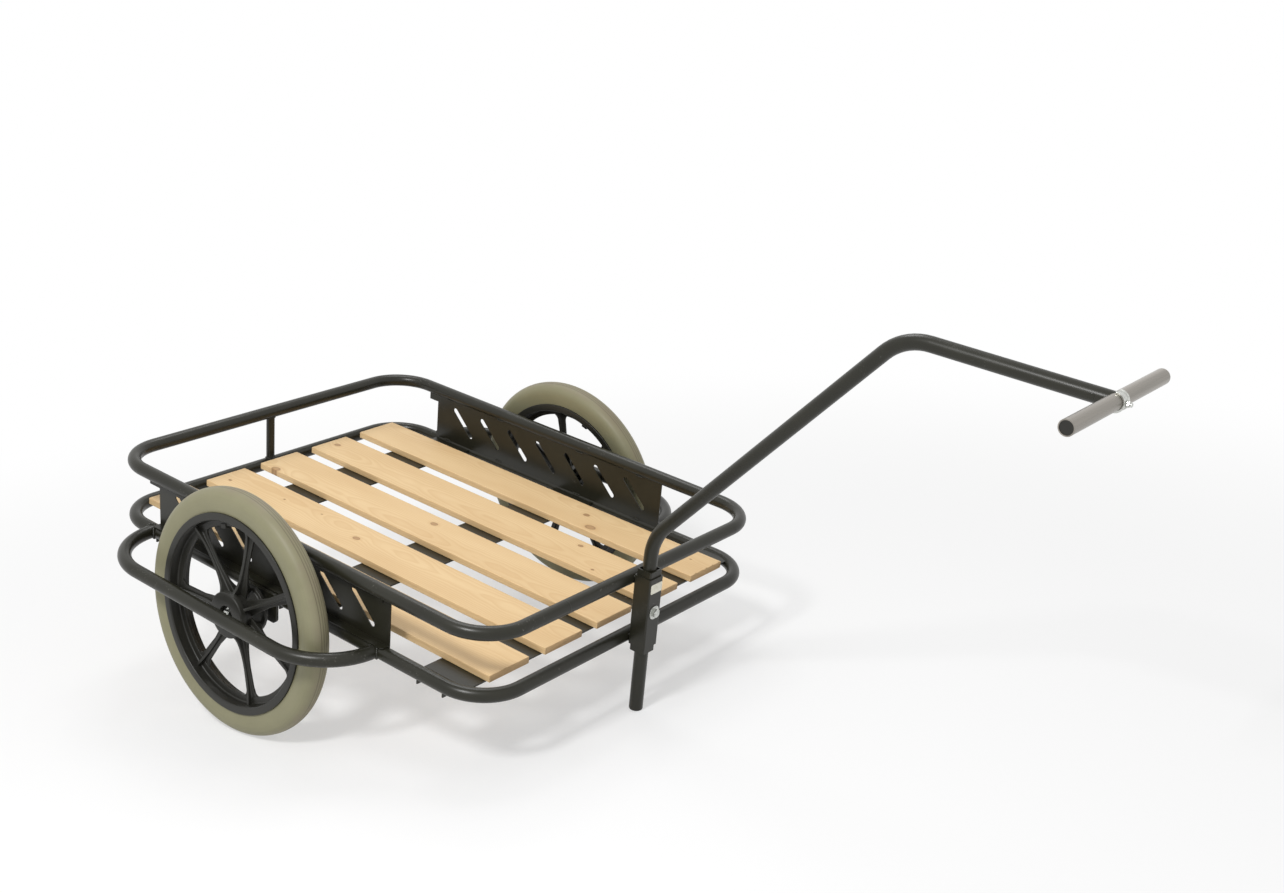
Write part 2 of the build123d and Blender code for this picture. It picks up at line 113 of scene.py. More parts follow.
# %% Closed shapes from grids
def grid_faces(rows, cols, wrap_rows):
    """The quads of a grid whose columns run round: (r, c), (r+1, c), (r+1, c+1), (r, c+1)."""
    r = np.arange(rows if wrap_rows else rows - 1)[:, None]
    c = np.arange(cols)[None, :]
    r_on, c_on = (r + 1) % rows, (c + 1) % cols
    corners = [r * cols + c, r_on * cols + c, r_on * cols + c_on, r * cols + c_on]
    return np.stack(corners, -1).reshape(-1, 4)


def facing_out(shape):
    """The shape with outward faces: its volume is the sum of p0 . (p1 x p2) / 6 over fanned triangles."""
    points, blocks = shape
    volume = 0.0
    for block in blocks:
        corners = points[block]
        volume += np.sum(corners[:, :1] * np.cross(corners[:, 1:-1], corners[:, 2:])) / 6
    return points, [block[:, ::-1] if volume < 0 else block for block in blocks]


def shell(grid, wrap_rows=False):
    """A grid as a closed shape, with a flat face over each end where its rows don't wrap."""
    rows, cols = grid.shape[:2]
    blocks = [grid_faces(rows, cols, wrap_rows)]
    if not wrap_rows:
        ring = np.arange(cols)[None]
        blocks += [ring, ring[:, ::-1] + (rows - 1) * cols]
    return facing_out((grid.reshape(-1, 3), blocks))


def together(*shapes):
    """Several shapes as one: the corner numbers of each count on from the points before it."""
    starts = np.cumsum([0] + [len(points) for points, _ in shapes])
    blocks = [block + start for (_, own), start in zip(shapes, starts) for block in own]
    return np.concatenate([points for points, _ in shapes]), blocks


print("a box of quads has", len(grid_faces(2, 4, False)), "side faces")

# %% [markdown]
# `piece` turns a shape into a Blender object at the origin that rides on a body of the cart. Edges
# sharper than an angle stay crisp and the rest is shaded smooth, which is how a moulding or a
# machined part reads. Fields are stored with the mesh, so a pattern can follow a board or a tyre.

# %% From a shape to a piece that rides on a body
def piece(name, shape, finish, slot, stands_for=(), sharp=40, body="cart", **fields):
    """One mesh from level points, tipped into place, with its material, body and fields. `slot` is not used.
    """
    points, blocks = facing_out((parked(shape[0]), shape[1]))
    mesh = bpy.data.meshes.new(name)
    mesh.from_pydata(points.tolist(), [], [face for block in blocks for face in block.tolist()])
    for field, values in fields.items():
        values = np.asarray(values, np.float32)
        kind, key = ("FLOAT_VECTOR", "vector") if values.ndim == 2 else ("FLOAT", "value")
        mesh.attributes.new(field, kind, "POINT").data.foreach_set(key, values.ravel())
    mesh.set_sharp_from_angle(angle=math.radians(sharp))
    mesh.materials.append(finish)
    obj = bpy.data.objects.new(name, mesh)
    scene.collection.objects.link(obj)
    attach(obj, body)
    if stands_for:
        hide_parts(*stands_for)
    print(name, len(mesh.polygons), "faces")


# %% [markdown]
# Four ways of making a grid cover the whole cart. An outline with rounded corners can be turned
# about the hub, stacked along a straight way like a bolt's head, or carried along a path like a
# weld. Blender's own Screw, Extrude and Bevel could do this one by one, but a formula gives the
# same rounding on every piece and no edge is ever left knife-sharp.

# %% Outlines
def rounded(corners, radii, steps=4):
    """A closed outline with each corner C cut by (1-t)^2 (C + a d) + 2t(1-t) C + t^2 (C + b d).

    a and b are unit ways to the neighbours, and d = radius / tan(half the angle), at most 0.49 of a side."""
    here = np.asarray(corners, float)
    back, on = np.roll(here, 1, -2) - here, np.roll(here, -1, -2) - here
    back_len = np.linalg.norm(back, axis=-1, keepdims=True)
    on_len = np.linalg.norm(on, axis=-1, keepdims=True)
    back, on = back / back_len, on / on_len
    half = np.arccos(np.clip(np.sum(back * on, -1, keepdims=True), -1, 1)) / 2
    reach = np.asarray(radii, float)[..., None] / np.tan(half)
    reach = np.minimum(reach, 0.49 * np.minimum(back_len, on_len))
    start, end = here + back * reach, here + on * reach
    t = np.linspace(0, 1, steps + 1)[:, None]
    start, here, end = start[..., None, :], here[..., None, :], end[..., None, :]
    curve = (1 - t) ** 2 * start + 2 * t * (1 - t) * here + t**2 * end
    return curve.reshape(*curve.shape[:-3], -1, 2)


def ring(radius, steps=48):
    """A circle as an outline: (r cos a, r sin a)."""
    angle = np.linspace(0, 2 * math.pi, steps, endpoint=False)
    return radius * np.stack([np.cos(angle), np.sin(angle)], -1)


def box_outline(width, height, radius):
    """A rectangle about the origin with rounded corners."""
    signs = np.array([(-1, -1), (1, -1), (1, 1), (-1, 1)])
    return rounded(signs * (width / 2, height / 2), np.full(4, radius))


print("a rounded box has", len(box_outline(0.04, 0.02, 0.002)), "points")


# %% Turned, stacked and carried outlines
def turned(outline, steps):
    """A (radius, outward) outline turned about the hub: forward = r sin a, up = r cos a."""
    angle = np.linspace(0, 2 * math.pi, steps, endpoint=False)[:, None]
    radius, out = np.asarray(outline, float).T[:, None]
    return shell(np.stack([radius * np.sin(angle), out + 0 * angle, radius * np.cos(angle)], -1), True)


def stacked(outline, levels, origin, u, v):
    """Outlines stacked along w = u x v, each level (height, draw) pulled in by `draw` at its widest."""
    outline = np.asarray(outline, float)
    height, draw = np.asarray(levels, float).T
    widest = np.abs(outline).reshape(-1, 2).max(0)
    flat = outline * (1 - draw[:, None, None] / widest)
    u, v = np.asarray(u, float), np.asarray(v, float)
    rise = height[:, None, None] * np.cross(u, v)
    return shell(np.asarray(origin, float) + rise + flat[..., :1] * u + flat[..., 1:] * v)


def carried(path, outline, hint, closed=False):
    """An outline carried along a path, its first way along hint x path and its second square to it."""
    path = np.asarray(path, float)
    ahead = np.roll(path, -1, 0) - np.roll(path, 1, 0) if closed else np.gradient(path, axis=0)
    ahead /= np.linalg.norm(ahead, axis=1, keepdims=True)
    across = np.cross(np.asarray(hint, float), ahead)
    across /= np.linalg.norm(across, axis=1, keepdims=True)
    over = np.cross(ahead, across)
    grid = path[:, None] + outline[..., :1] * across[:, None] + outline[..., 1:] * over[:, None]
    return shell(grid, closed)


print("a turned ring has", len(turned(ring(0.01) + (0.1, 0), 64)[0]), "points")

# %% [markdown]
# ## Finishes
# A material is a small graph of nodes. These helpers keep each graph readable: a value may be a
# number or the output of another node, and both are passed in the same way.

# %% Node helpers
def feed(tree, target, value):
    """Links an output to a socket, or sets the socket to a plain value."""
    if isinstance(value, bpy.types.NodeSocket):
        tree.links.new(value, target)
    else:
        target.default_value = value


def node(tree, kind, inputs=None, **settings):
    """A node with its settings, and its inputs fed by name or number."""
    made = tree.nodes.new(kind)
    for key, value in settings.items():
        setattr(made, key, value)
    for key, value in (inputs or {}).items():
        feed(tree, made.inputs[key], value)
    return made


def maths(tree, operation, *values):
    """One step of arithmetic."""
    return node(tree, "ShaderNodeMath", dict(enumerate(values)), operation=operation).outputs[0]


def stretch(tree, vector, scales):
    """A vector with each way scaled, which draws a pattern out along the small scales."""
    return node(tree, "ShaderNodeVectorMath", {0: vector, 1: scales}, operation="MULTIPLY").outputs[0]


def noise(tree, vector, scale, detail=3.0, roughness=0.5):
    """Smooth noise of about 0.2 to 0.8, `scale` lumps to the metre."""
    inputs = {"Vector": vector, "Scale": scale, "Detail": detail, "Roughness": roughness}
    return node(tree, "ShaderNodeTexNoise", inputs).outputs["Fac"]


def remap(tree, value, low, high, to_low=0.0, to_high=1.0):
    """A straight-line change of range, held at both ends."""
    inputs = {"Value": value, "From Min": low, "From Max": high, "To Min": to_low, "To Max": to_high}
    return node(tree, "ShaderNodeMapRange", inputs, clamp=True).outputs[0]


def blend(tree, share, first, second):
    """A colour between two others."""
    return node(tree, "ShaderNodeMix", {0: share, 6: first, 7: second}, data_type="RGBA").outputs[2]


def tint(tree, tone, mask, amount, colour):
    """A tone turned toward a colour by mask times amount."""
    return blend(tree, maths(tree, "MULTIPLY", mask, amount), tone, colour)


def relief(tree, height, distance):
    """A normal bent by a height pattern, `distance` metres deep."""
    inputs = {"Height": height, "Distance": distance, "Strength": 1.0}
    return node(tree, "ShaderNodeBump", inputs).outputs["Normal"]


def dress(tree, shader, tone, gloss, normal, specular):
    """Feeds a shader's colour, roughness and normal, and sets how strongly it mirrors."""
    feed(tree, shader["Base Color"], tone)
    feed(tree, shader["Roughness"], gloss)
    feed(tree, shader["Normal"], normal)
    shader["Specular IOR Level"].default_value = specular


print("node helpers ready")


# %% [markdown]
# Four effects serve more than one finish, so each is a node group with named sockets, built once:
# the skin of a coat or moulding, the scuffs that a used cart picks up, a knot in a board, and the
# growth rings of pine. A group only gives values and normals, and the shader stays in the material.

# %% Groups, materials and placed groups
def group(name, inputs, outputs):
    """A node group with typed sockets: its tree, the outputs of its input node, and a way to give."""
    tree = bpy.data.node_groups.new(name, "ShaderNodeTree")
    for way, sockets in (("INPUT", inputs), ("OUTPUT", outputs)):
        for label, kind in sockets.items():
            tree.interface.new_socket(label, in_out=way, socket_type=f"NodeSocket{kind}")
    taken = tree.nodes.new("NodeGroupInput").outputs
    given = tree.nodes.new("NodeGroupOutput").inputs
    return tree, taken, given


def use(tree, shared, **inputs):
    """A group placed in a material, with its sockets fed by name."""
    return node(tree, "ShaderNodeGroup", inputs, node_tree=shared).outputs


def material(name):
    """A new material: itself, its tree and its shader's inputs."""
    made = bpy.data.materials.new(name)
    made.use_nodes = True
    return made, made.node_tree, made.node_tree.nodes["Principled BSDF"].inputs


def on_object(tree):
    """Object coordinates: metres from the origin, which every piece and solid shares at rest."""
    return node(tree, "ShaderNodeTexCoord").outputs["Object"]


def field(tree, name, output="Vector"):
    """A field that a piece keeps with its mesh."""
    return node(tree, "ShaderNodeAttribute", attribute_name=name).outputs[output]


print("groups begin", len(bpy.data.node_groups))

# %% [markdown]
# The skin is what stops black paint and plastic from looking like flat ink: a fine orange peel or
# spark grain bends the highlights, and broad soft patches change the gloss a little. Both come
# from noise, the fine one as a height and the broad one as a share.

# %% Skin of a coat or moulding
skin, taken, given = group(
    "Skin",
    {"Vector": "Vector", "Grain": "Float", "Depth": "Float"},
    {"Patch": "Float", "Normal": "Vector"},
)
broad = noise(skin, taken["Vector"], 9.0, 4.0, 0.6)
fine = noise(skin, taken["Vector"], taken["Grain"], 2.0)
feed(skin, given["Patch"], remap(skin, broad, 0.3, 0.7))
feed(skin, given["Normal"], relief(skin, fine, taken["Depth"]))
print("group", skin.name)

# %% [markdown]
# Scuffs are short pale rubs on the tubes and small dents of light on bends. Two noises are
# multiplied, a coarse one that says where the cart was knocked and a fine one that breaks the rub
# up, and only the peaks are kept.

# %% Scuffs
scuffs, taken, given = group("Scuffs", {"Vector": "Vector", "Scale": "Float"}, {"Mask": "Float"})
where_hit = remap(scuffs, noise(scuffs, taken["Vector"], 11.0, 2.0), 0.58, 0.68)
broken = remap(scuffs, noise(scuffs, taken["Vector"], taken["Scale"], 5.0, 0.7), 0.60, 0.68)
feed(scuffs, given["Mask"], maths(scuffs, "MULTIPLY", where_hit, broken))
print("group", scuffs.name)

# %% [markdown]
# A knot is a branch that the saw cut across: a darker core, a ring of bark round it and a halo of
# resin. The distance to its centre is stretched along the board, because branches leave the trunk
# at a slant, and a little noise takes the compass out of the circle.

# %% Knots
knot, taken, given = group(
    "Knot",
    {"Vector": "Vector", "Centre": "Vector", "Radius": "Float"},
    {"Core": "Float", "Bark": "Float", "Halo": "Float", "Reach": "Float"},
)
offset = {0: taken["Vector"], 1: taken["Centre"]}
away = node(knot, "ShaderNodeVectorMath", offset, operation="SUBTRACT").outputs[0]
away = stretch(knot, away, (0.72, 1.0, 0.15))
uneven = maths(knot, "SUBTRACT", noise(knot, taken["Vector"], 120.0, 2.0), 0.5)
wander = maths(knot, "MULTIPLY", uneven, 0.35)
span = node(knot, "ShaderNodeVectorMath", {0: away}, operation="LENGTH").outputs["Value"]
reach = maths(knot, "ADD", maths(knot, "DIVIDE", span, taken["Radius"]), wander)
feed(knot, given["Core"], remap(knot, reach, 1.0, 0.75))
bark = maths(knot, "MULTIPLY", remap(knot, reach, 0.62, 0.86), remap(knot, reach, 1.12, 0.92))
feed(knot, given["Bark"], bark)
feed(knot, given["Halo"], remap(knot, reach, 2.1, 0.9))
feed(knot, given["Reach"], reach)
print("group", knot.name)

# %% [markdown]
# Growth rings are cylinders about the heart of the trunk. Each board was sawn from another place
# in it, so its seed moves the heart sideways, and slow noise along the board makes the trunk bend.
# Rings that the top face grazes open into long flames, and the sawn ends show arcs, all from one
# formula: the distance to the heart, cut into rings of about four millimetres.

# %% Growth rings
rings, taken, given = group(
    "Growth rings",
    {"Board": "Vector", "Seed": "Float", "Push": "Float"},
    {"Late": "Float", "Fibre": "Float", "Cloud": "Float"},
)
board_at = node(rings, "ShaderNodeSeparateXYZ", {"Vector": taken["Board"]}).outputs
lengthwise = node(rings, "ShaderNodeCombineXYZ", {"X": board_at["X"], "Y": taken["Seed"]}).outputs[0]
bend = maths(rings, "SUBTRACT", noise(rings, lengthwise, 1.6, 2.0), 0.5)
lift = maths(rings, "SUBTRACT", noise(rings, lengthwise, 2.7, 3.0), 0.5)
heart = maths(rings, "MULTIPLY", maths(rings, "SINE", maths(rings, "MULTIPLY", taken["Seed"], 2.4)), 0.034)
heart_y = maths(rings, "ADD", board_at["Y"], maths(rings, "MULTIPLY_ADD", bend, 0.03, heart))
heart_z = maths(rings, "ADD", board_at["Z"], maths(rings, "MULTIPLY_ADD", lift, 0.05, 0.034))
square = maths(rings, "MULTIPLY_ADD", heart_z, heart_z, maths(rings, "MULTIPLY", heart_y, heart_y))
waver = noise(rings, stretch(rings, taken["Board"], (4.0, 30.0, 30.0)), 1.0, 3.0)
waver = maths(rings, "MULTIPLY_ADD", waver, 0.0028, taken["Push"])
radius = maths(rings, "ADD", maths(rings, "SQRT", square), waver)
phase = maths(rings, "FRACT", maths(rings, "MULTIPLY", radius, 235.0))
late = maths(rings, "MULTIPLY", remap(rings, phase, 0.25, 0.86), remap(rings, phase, 1.0, 0.88))
feed(rings, given["Late"], late)
feed(rings, given["Fibre"], noise(rings, stretch(rings, taken["Board"], (14.0, 900.0, 900.0)), 1.0, 4.0, 0.6))
feed(rings, given["Cloud"], noise(rings, stretch(rings, taken["Board"], (3.0, 14.0, 14.0)), 1.0, 3.0))
print("groups", [g.name for g in bpy.data.node_groups])

# %% [markdown]
# The tubes, panels and bearers wear a satin black powder coat. It is not pure black, its warm grey
# shows where light grazes a tube, and it has a few pale scuffs. The same material serves packed
# solids and new pieces, since both lie in one frame and Object coordinates agree.

# %% Powder coat
paint, tree, shader = material("Powder coat")
coat = use(tree, skin, Vector=on_object(tree), Grain=700.0, Depth=0.000008)
rub = use(tree, scuffs, Vector=on_object(tree), Scale=160.0)["Mask"]
tone = blend(tree, coat["Patch"], (0.0125, 0.0120, 0.0070, 1), (0.0185, 0.0178, 0.0108, 1))
tone = tint(tree, tone, rub, 0.55, (0.20, 0.19, 0.17, 1))
gloss = maths(tree, "MULTIPLY_ADD", rub, 0.15, remap(tree, coat["Patch"], 0, 1, 0.29, 0.37))
dress(tree, shader, tone, gloss, coat["Normal"], 0.38)
print("material", paint.name)

# %% [markdown]
# The wheels, the leg's cap and the crossbar's plugs are black plastic: a little duller than the
# paint, with a finer grain from the spark-eroded mould.

# %% Moulded plastic
plastic, tree, shader = material("Moulded plastic")
coat = use(tree, skin, Vector=on_object(tree), Grain=1100.0, Depth=0.00003)
tone = blend(tree, coat["Patch"], (0.0130, 0.0127, 0.0098, 1), (0.0210, 0.0204, 0.0160, 1))
dress(tree, shader, tone, remap(tree, coat["Patch"], 0, 1, 0.36, 0.46), coat["Normal"], 0.38)
print("material", plastic.name)


# %% [markdown]
# Bolts, nuts and the strap are zinc plated, and the crossbar is drawn tube, clear-lacquered. Both
# are metals: the base colour is what they reflect. Tube comes through its die with fine lines
# along it, so its tone is noise drawn out along Y, while zinc has small spangled patches. The
# broad darker bands this lays along the crossbar are painted reflection of a dark surrounding.

# %% Plated and bare metal
METAL_GRAIN = 700.0
# Drawn out along Y, the tube's noise gives die lines and bands of painted reflection along the crossbar.
SPANGLES, DIE_LINES_AND_REFLECTION_BANDS = (240.0, 240.0, 240.0), (46.0, 0.8, 46.0)


def metal(name, bright, dull, gloss, scales, depth):
    """A metal whose tone and gloss follow one noise, stretched by `scales` lumps to the metre."""
    made, tree, shader = material(name)
    smooth, rough = gloss
    where = on_object(tree)
    streak = remap(tree, noise(tree, stretch(tree, where, scales), 1.0, 4.0, 0.55), 0.34, 0.66)
    feed(tree, shader["Base Color"], blend(tree, streak, bright, dull))
    feed(tree, shader["Roughness"], remap(tree, streak, 0, 1, smooth, rough))
    feed(tree, shader["Normal"], relief(tree, noise(tree, where, METAL_GRAIN, 2.0), depth))
    shader["Metallic"].default_value = 1.0
    return made


zinc_tones = (0.66, 0.67, 0.64, 1), (0.44, 0.45, 0.42, 1)
# The duller of the two tube tones is painted reflection: it draws dark bands along the crossbar.
tube_and_painted_reflection_tones = (0.38, 0.350, 0.31, 1), (0.25, 0.235, 0.21, 1)
zinc = metal("Zinc plate", *zinc_tones, (0.24, 0.36), SPANGLES, 0.000003)
tube_steel = metal("Drawn tube", *tube_and_painted_reflection_tones, (0.26, 0.34), DIE_LINES_AND_REFLECTION_BANDS, 0.000002)
print("metals", zinc.name, tube_steel.name)

# %% [markdown]
# The label on the sleeve stays blank. It is off-white vinyl with a slight shine, a little dirtier
# toward some edges.

# %% Blank label
vinyl, tree, shader = material("Blank label")
grime = remap(tree, noise(tree, on_object(tree), 130.0, 4.0, 0.6), 0.45, 0.72)
feed(tree, shader["Base Color"], blend(tree, grime, (0.80, 0.78, 0.66, 1), (0.66, 0.63, 0.50, 1)))
feed(tree, shader["Roughness"], remap(tree, grime, 0, 1, 0.30, 0.46))
print("material", vinyl.name)

# %% [markdown]
# ## Tyres
# Each tyre is a solid grey-green ring with a round crown, three fine mould lines on the tread, and
# flanks that draw in toward the rim. A torus would be too round and has no flanks, so the section
# is one outline, turned about the hub. The tread is rubbed brownish between the lines, so the mesh
# keeps each point's radius, place across and angle round the tyre as a field for the material.

# %% Section of the tyre
WHEEL_R, CROWN, RIM_R = 0.2499, 0.0245, 0.203
CROWN_POWER = 2.25
MOULD_LINES = np.array([-0.0065, -0.0010, 0.0050])
NOTCH_DEEP, NOTCH_HALF = 0.0006, 0.00080


def tyre_section():
    """Crown |y|^p + (r - 0.2254)^p = 0.0245^p with p = 2.25, less a notch 0.6 mm deep at each line.

    Rows are radius, place across the tyre, and how deep in a notch the point lies, 0 to 1."""
    angle = np.linspace(-1, 1, 97) * math.pi / 2
    power = 2 / CROWN_POWER
    y = CROWN * np.sign(angle) * np.abs(np.sin(angle)) ** power
    r = WHEEL_R - CROWN + CROWN * np.abs(np.cos(angle)) ** power
    notch = np.exp(-(((y[:, None] - MOULD_LINES) / NOTCH_HALF) ** 2)).sum(1)
    r = r - NOTCH_DEEP * notch
    flank = np.linspace(0, 1, 9)[1:]
    flank_r = WHEEL_R - CROWN + (RIM_R - WHEEL_R + CROWN) * flank
    flank_y = CROWN - 0.0030 * flank**1.8
    bead_r, bead_y = np.array([(0.2026, 0.0190), (0.1990, 0.0175), (0.1942, 0.0160)]).T
    r = np.concatenate([bead_r[::-1], flank_r[::-1], r, flank_r, bead_r])
    y = np.concatenate([-bead_y[::-1], -flank_y[::-1], y, flank_y, bead_y])
    smooth = np.zeros(len(flank_r) + len(bead_r))
    return np.stack([r, y, np.concatenate([smooth, notch, smooth])], -1)


print("tyre section", len(tyre_section()), "points")

# %% [markdown]
# The rubber is matte with a soft sheen. Its colour drifts slowly, fine streaks run round it as the
# mould left them, and the crown carries pinkish-brown floor dirt between the mould lines.

# %% Rubber
rubber, tree, shader = material("Grey-green rubber")
around = field(tree, "section")
across = node(tree, "ShaderNodeSeparateXYZ", {"Vector": around}).outputs
coat = use(tree, skin, Vector=on_object(tree), Grain=500.0, Depth=0.00008)
tone = blend(tree, coat["Patch"], (0.224, 0.213, 0.128, 1), (0.264, 0.250, 0.155, 1))
streak = noise(tree, stretch(tree, around, (900.0, 900.0, 1.2)), 1.0, 3.0)
tone = blend(tree, remap(tree, streak, 0.5, 0.75, 0.0, 0.22), tone, (0.17, 0.165, 0.105, 1))
tread = remap(tree, across["X"], 0.2395, 0.2490)
worn = remap(tree, noise(tree, on_object(tree), 22.0, 4.0, 0.65), 0.42, 0.62, 0.15, 0.60)
tone = tint(tree, tone, tread, worn, (0.240, 0.200, 0.140, 1))
tone = tint(tree, tone, field(tree, "notch", "Fac"), 0.75, (0.105, 0.082, 0.055, 1))
dress(tree, shader, tone, remap(tree, coat["Patch"], 0, 1, 0.42, 0.54), coat["Normal"], 0.32)
print("material", rubber.name)

# %% Both tyres
TYRE_STEPS = 288
outline = tyre_section()
notches = np.tile(outline[:, 2], TYRE_STEPS)
for side_name, side in SIDES:
    points, blocks = turned(outline[:, :2], TYRE_STEPS)
    forward, out, up = points.T
    section = np.stack([np.hypot(forward, up), out, np.arctan2(forward, up)], -1)
    piece(
        f"{side_name}_tyre_skin",
        (on_wheel(points, side), blocks),
        rubber,
        "tyre",
        (f"{side_name}_tyre",),
        50,
        f"{side_name}_wheel_body",
        section=section,
        notch=notches,
    )

# %% [markdown]
# ## Wheels
# The wheel is one moulding: an outer band with rolled lips, a thin ring inside it that ties the
# spokes together, seven spokes, and a hub like a spool, with a recess for the axle's nut. In the
# solids its edges are sharp and its ribs are plain. A mould has no sharp edge, so here the rim and
# the hub are outlines with every corner rounded, turned about the axle.

# %% Rim and hub outlines
RIM_CORNERS = np.array(  # radius, outward, rounding, from the outer lip in to the ring's inner edge
    [
        (0.2030, 0.0215, 0.0004),
        (0.2030, 0.0255, 0.0014),
        (0.1888, 0.0255, 0.0022),
        (0.1868, 0.0235, 0.0012),
        (0.1862, 0.0036, 0.0040),
        (0.1722, 0.0034, 0.0012),
    ]
)
CHANNEL = np.array([(0.1935, -0.0160, 0.0010), (0.1935, 0.0160, 0.0010)])
HUB_CORNERS = np.array(  # radius, outward, rounding, from the bore's inner end round to its outer end
    [
        (0.01005, -0.0260, 0.0008),
        (0.02300, -0.0260, 0.0010),
        (0.02350, -0.0320, 0.0010),
        (0.05000, -0.0320, 0.0020),
        (0.05000, -0.0240, 0.0020),
        (0.04400, -0.0220, 0.0040),
        (0.04000, -0.0020, 0.0100),
        (0.04150, 0.0150, 0.0040),
        (0.04700, 0.0180, 0.0020),
        (0.04700, 0.0310, 0.0032),
        (0.01950, 0.0310, 0.0008),
        (0.01900, 0.0190, 0.0008),
        (0.01005, 0.0190, 0.0006),
    ]
)
inner_half = RIM_CORNERS[::-1] * (1, -1, 1)
rim_corners = np.concatenate([RIM_CORNERS, inner_half, CHANNEL])
rim_outline = rounded(rim_corners[:, :2], rim_corners[:, 2])
hub_outline = rounded(HUB_CORNERS[:, :2], HUB_CORNERS[:, 2])
print("rim", len(rim_outline), "hub", len(hub_outline), "points")

# %% [markdown]
# A spoke is the skilled part of the wheel. Its section is a plus: a thin web in the wheel's plane,
# narrow at the waist and flared by a round fillet into the ring, crossed by a rib that sweeps up
# to the hub's discs in a hollow curve and spreads again where it meets the band. The twelve corners
# of the plus are functions of the distance from the hub, each corner is rounded, and the stack of
# sections is one grid.

# %% Spoke
SPOKE_START, SPOKE_END = 0.030, 0.1885
WEB_HALF, RIB_HALF = 0.0020, 0.0030
RIB_OUT, RIB_IN = 0.0285, 0.0300
FOOT_FILLET = 0.014
QUARTERS = np.array([(1, 1), (-1, 1), (-1, -1), (1, -1)])
PLUS_SIGNS = np.roll(np.repeat(QUARTERS, 3, 0), 1, 0)
PLUS_ROUNDING = np.array([0.0009, 0.0009, 0.0040, 0.0012, 0.0012, 0.0040] * 2)


def spoke(angle):
    """Sections at distance r (mm): web half width w(r) and rib half height h(r), turned to the angle A.

    w goes 19.5, 9, 12 at 0, 103.5 and 176, plus f - sqrt(f^2 - (r - 158)^2) with f = 14.
    h = 6.2 + 12.5 e^((49 - r)/22) + 9 e^((40 - r)/4) + 7 ((r - 135)/51)^1.5, held inside the hub.
    A point t across and o outward lies at (r cos A - t sin A, o, r sin A + t cos A)."""
    r = np.concatenate([np.linspace(SPOKE_START, 0.060, 14), np.linspace(0.065, 0.150, 16)])
    r = np.concatenate([r, np.linspace(0.154, 0.172, 12), [0.178, SPOKE_END]])
    w = np.interp(r, [0, 0.1035, 0.176], [0.0195, 0.0090, 0.012])
    past = np.clip(r - 0.158, 0, FOOT_FILLET)
    w = w + FOOT_FILLET - np.sqrt(FOOT_FILLET**2 - past**2)
    spread = np.clip((r - 0.135) / 0.051, 0, 1) ** 1.5
    sweep = 0.0125 * np.exp((0.049 - r) / 0.022) + 0.009 * np.exp((0.040 - r) / 0.004)
    h = 0.0062 + sweep + 0.007 * spread
    web = np.stack([w, np.full_like(w, WEB_HALF)], -1)
    root = np.full_like(web, (RIB_HALF, WEB_HALF))
    ribs = [np.stack([np.full_like(h, RIB_HALF), np.minimum(h, limit)], -1) for limit in (RIB_OUT, RIB_IN)]
    half_out = [web, web, root, ribs[0], ribs[0], root]
    half_in = [web, web, root, ribs[1], ribs[1], root]
    section = rounded(np.stack(half_out + half_in, 1) * PLUS_SIGNS, PLUS_ROUNDING, 3)
    t, out = section[..., 0], section[..., 1]
    c, s = math.cos(angle), math.sin(angle)
    distance = r[:, None]
    return shell(np.stack([distance * c - t * s, out, distance * s + t * c], -1))


print("spoke", len(spoke(0)[0]), "points")

# %% [markdown]
# Opposite one spoke a small block stands on the barrel, where a pneumatic wheel from the same
# mould has its valve. The free wheels happen to stand turned differently, so each side has its own
# angle for the first spoke, measured from the front toward the top of the level cart.

# %% Both wheels
SPOKES = 7
FIRST_SPOKE = {"right": math.radians(-72), "left": math.radians(-105.9)}
BOSS_TOP, BOSS_FOOT = 0.167, 0.176

for side_name, side in SIDES:
    first = FIRST_SPOKE[side_name]
    spokes = [spoke(first + n * 2 * math.pi / SPOKES) for n in range(SPOKES)]
    opposite = first + math.pi
    inward = -np.array([math.cos(opposite), 0, math.sin(opposite)])
    boss = stacked(
        box_outline(0.016, 0.012, 0.0022),
        [(0, 0), (0.0080, 0.0002), (0.0087, 0.0006), (0.0090, 0.0014)],
        -inward * BOSS_FOOT,
        np.cross(Y, inward),
        Y,
    )
    points, blocks = together(turned(rim_outline, 256), turned(hub_outline, 96), boss, *spokes)
    piece(
        f"{side_name}_wheel_moulding",
        (on_wheel(points, side), blocks),
        plastic,
        "wheel_plastic",
        (f"{side_name}_wheel",),
        42,
        f"{side_name}_wheel_body",
    )

# %% [markdown]
# ## Bolts and nuts
# A hexagon head is a prism cut by a cone, which leaves the curved bright edges that the eye looks
# for. Taking the smaller of the two radii at every angle and height makes that cut exactly, where a
# bevel would only flatten the corners.

# %% Heads, nuts and washers
def hexagon(across, height, chamfered, steps=72):
    """Outlines of a head: radius = min(half / cos(a mod 60 deg - 30 deg), cone), cone sloping at 30 deg."""
    angle = np.linspace(0, 2 * math.pi, steps, endpoint=False)
    flats = across / 2 / np.cos((angle + math.pi / 6) % (math.pi / 3) - math.pi / 6)
    heights = height * np.array([0, 0.12, 0.70, 0.80, 0.88, 0.95, 1.0])
    top = 0.47 * across + (height - heights) * math.sqrt(3)
    foot = 0.47 * across + heights * math.sqrt(3) if chamfered else np.full_like(heights, across)
    radius = np.minimum(flats, np.minimum(top, foot)[:, None])
    outlines = radius[..., None] * np.stack([np.cos(angle), np.sin(angle)], -1)
    return outlines, np.stack([heights, 0 * heights], -1)


def washer(radius, thick):
    """Levels of a pressed washer with a small round at both faces."""
    return ring(radius), thick * np.array([(0, 0.16), (0.16, 0), (0.84, 0), (1, 0.16)])


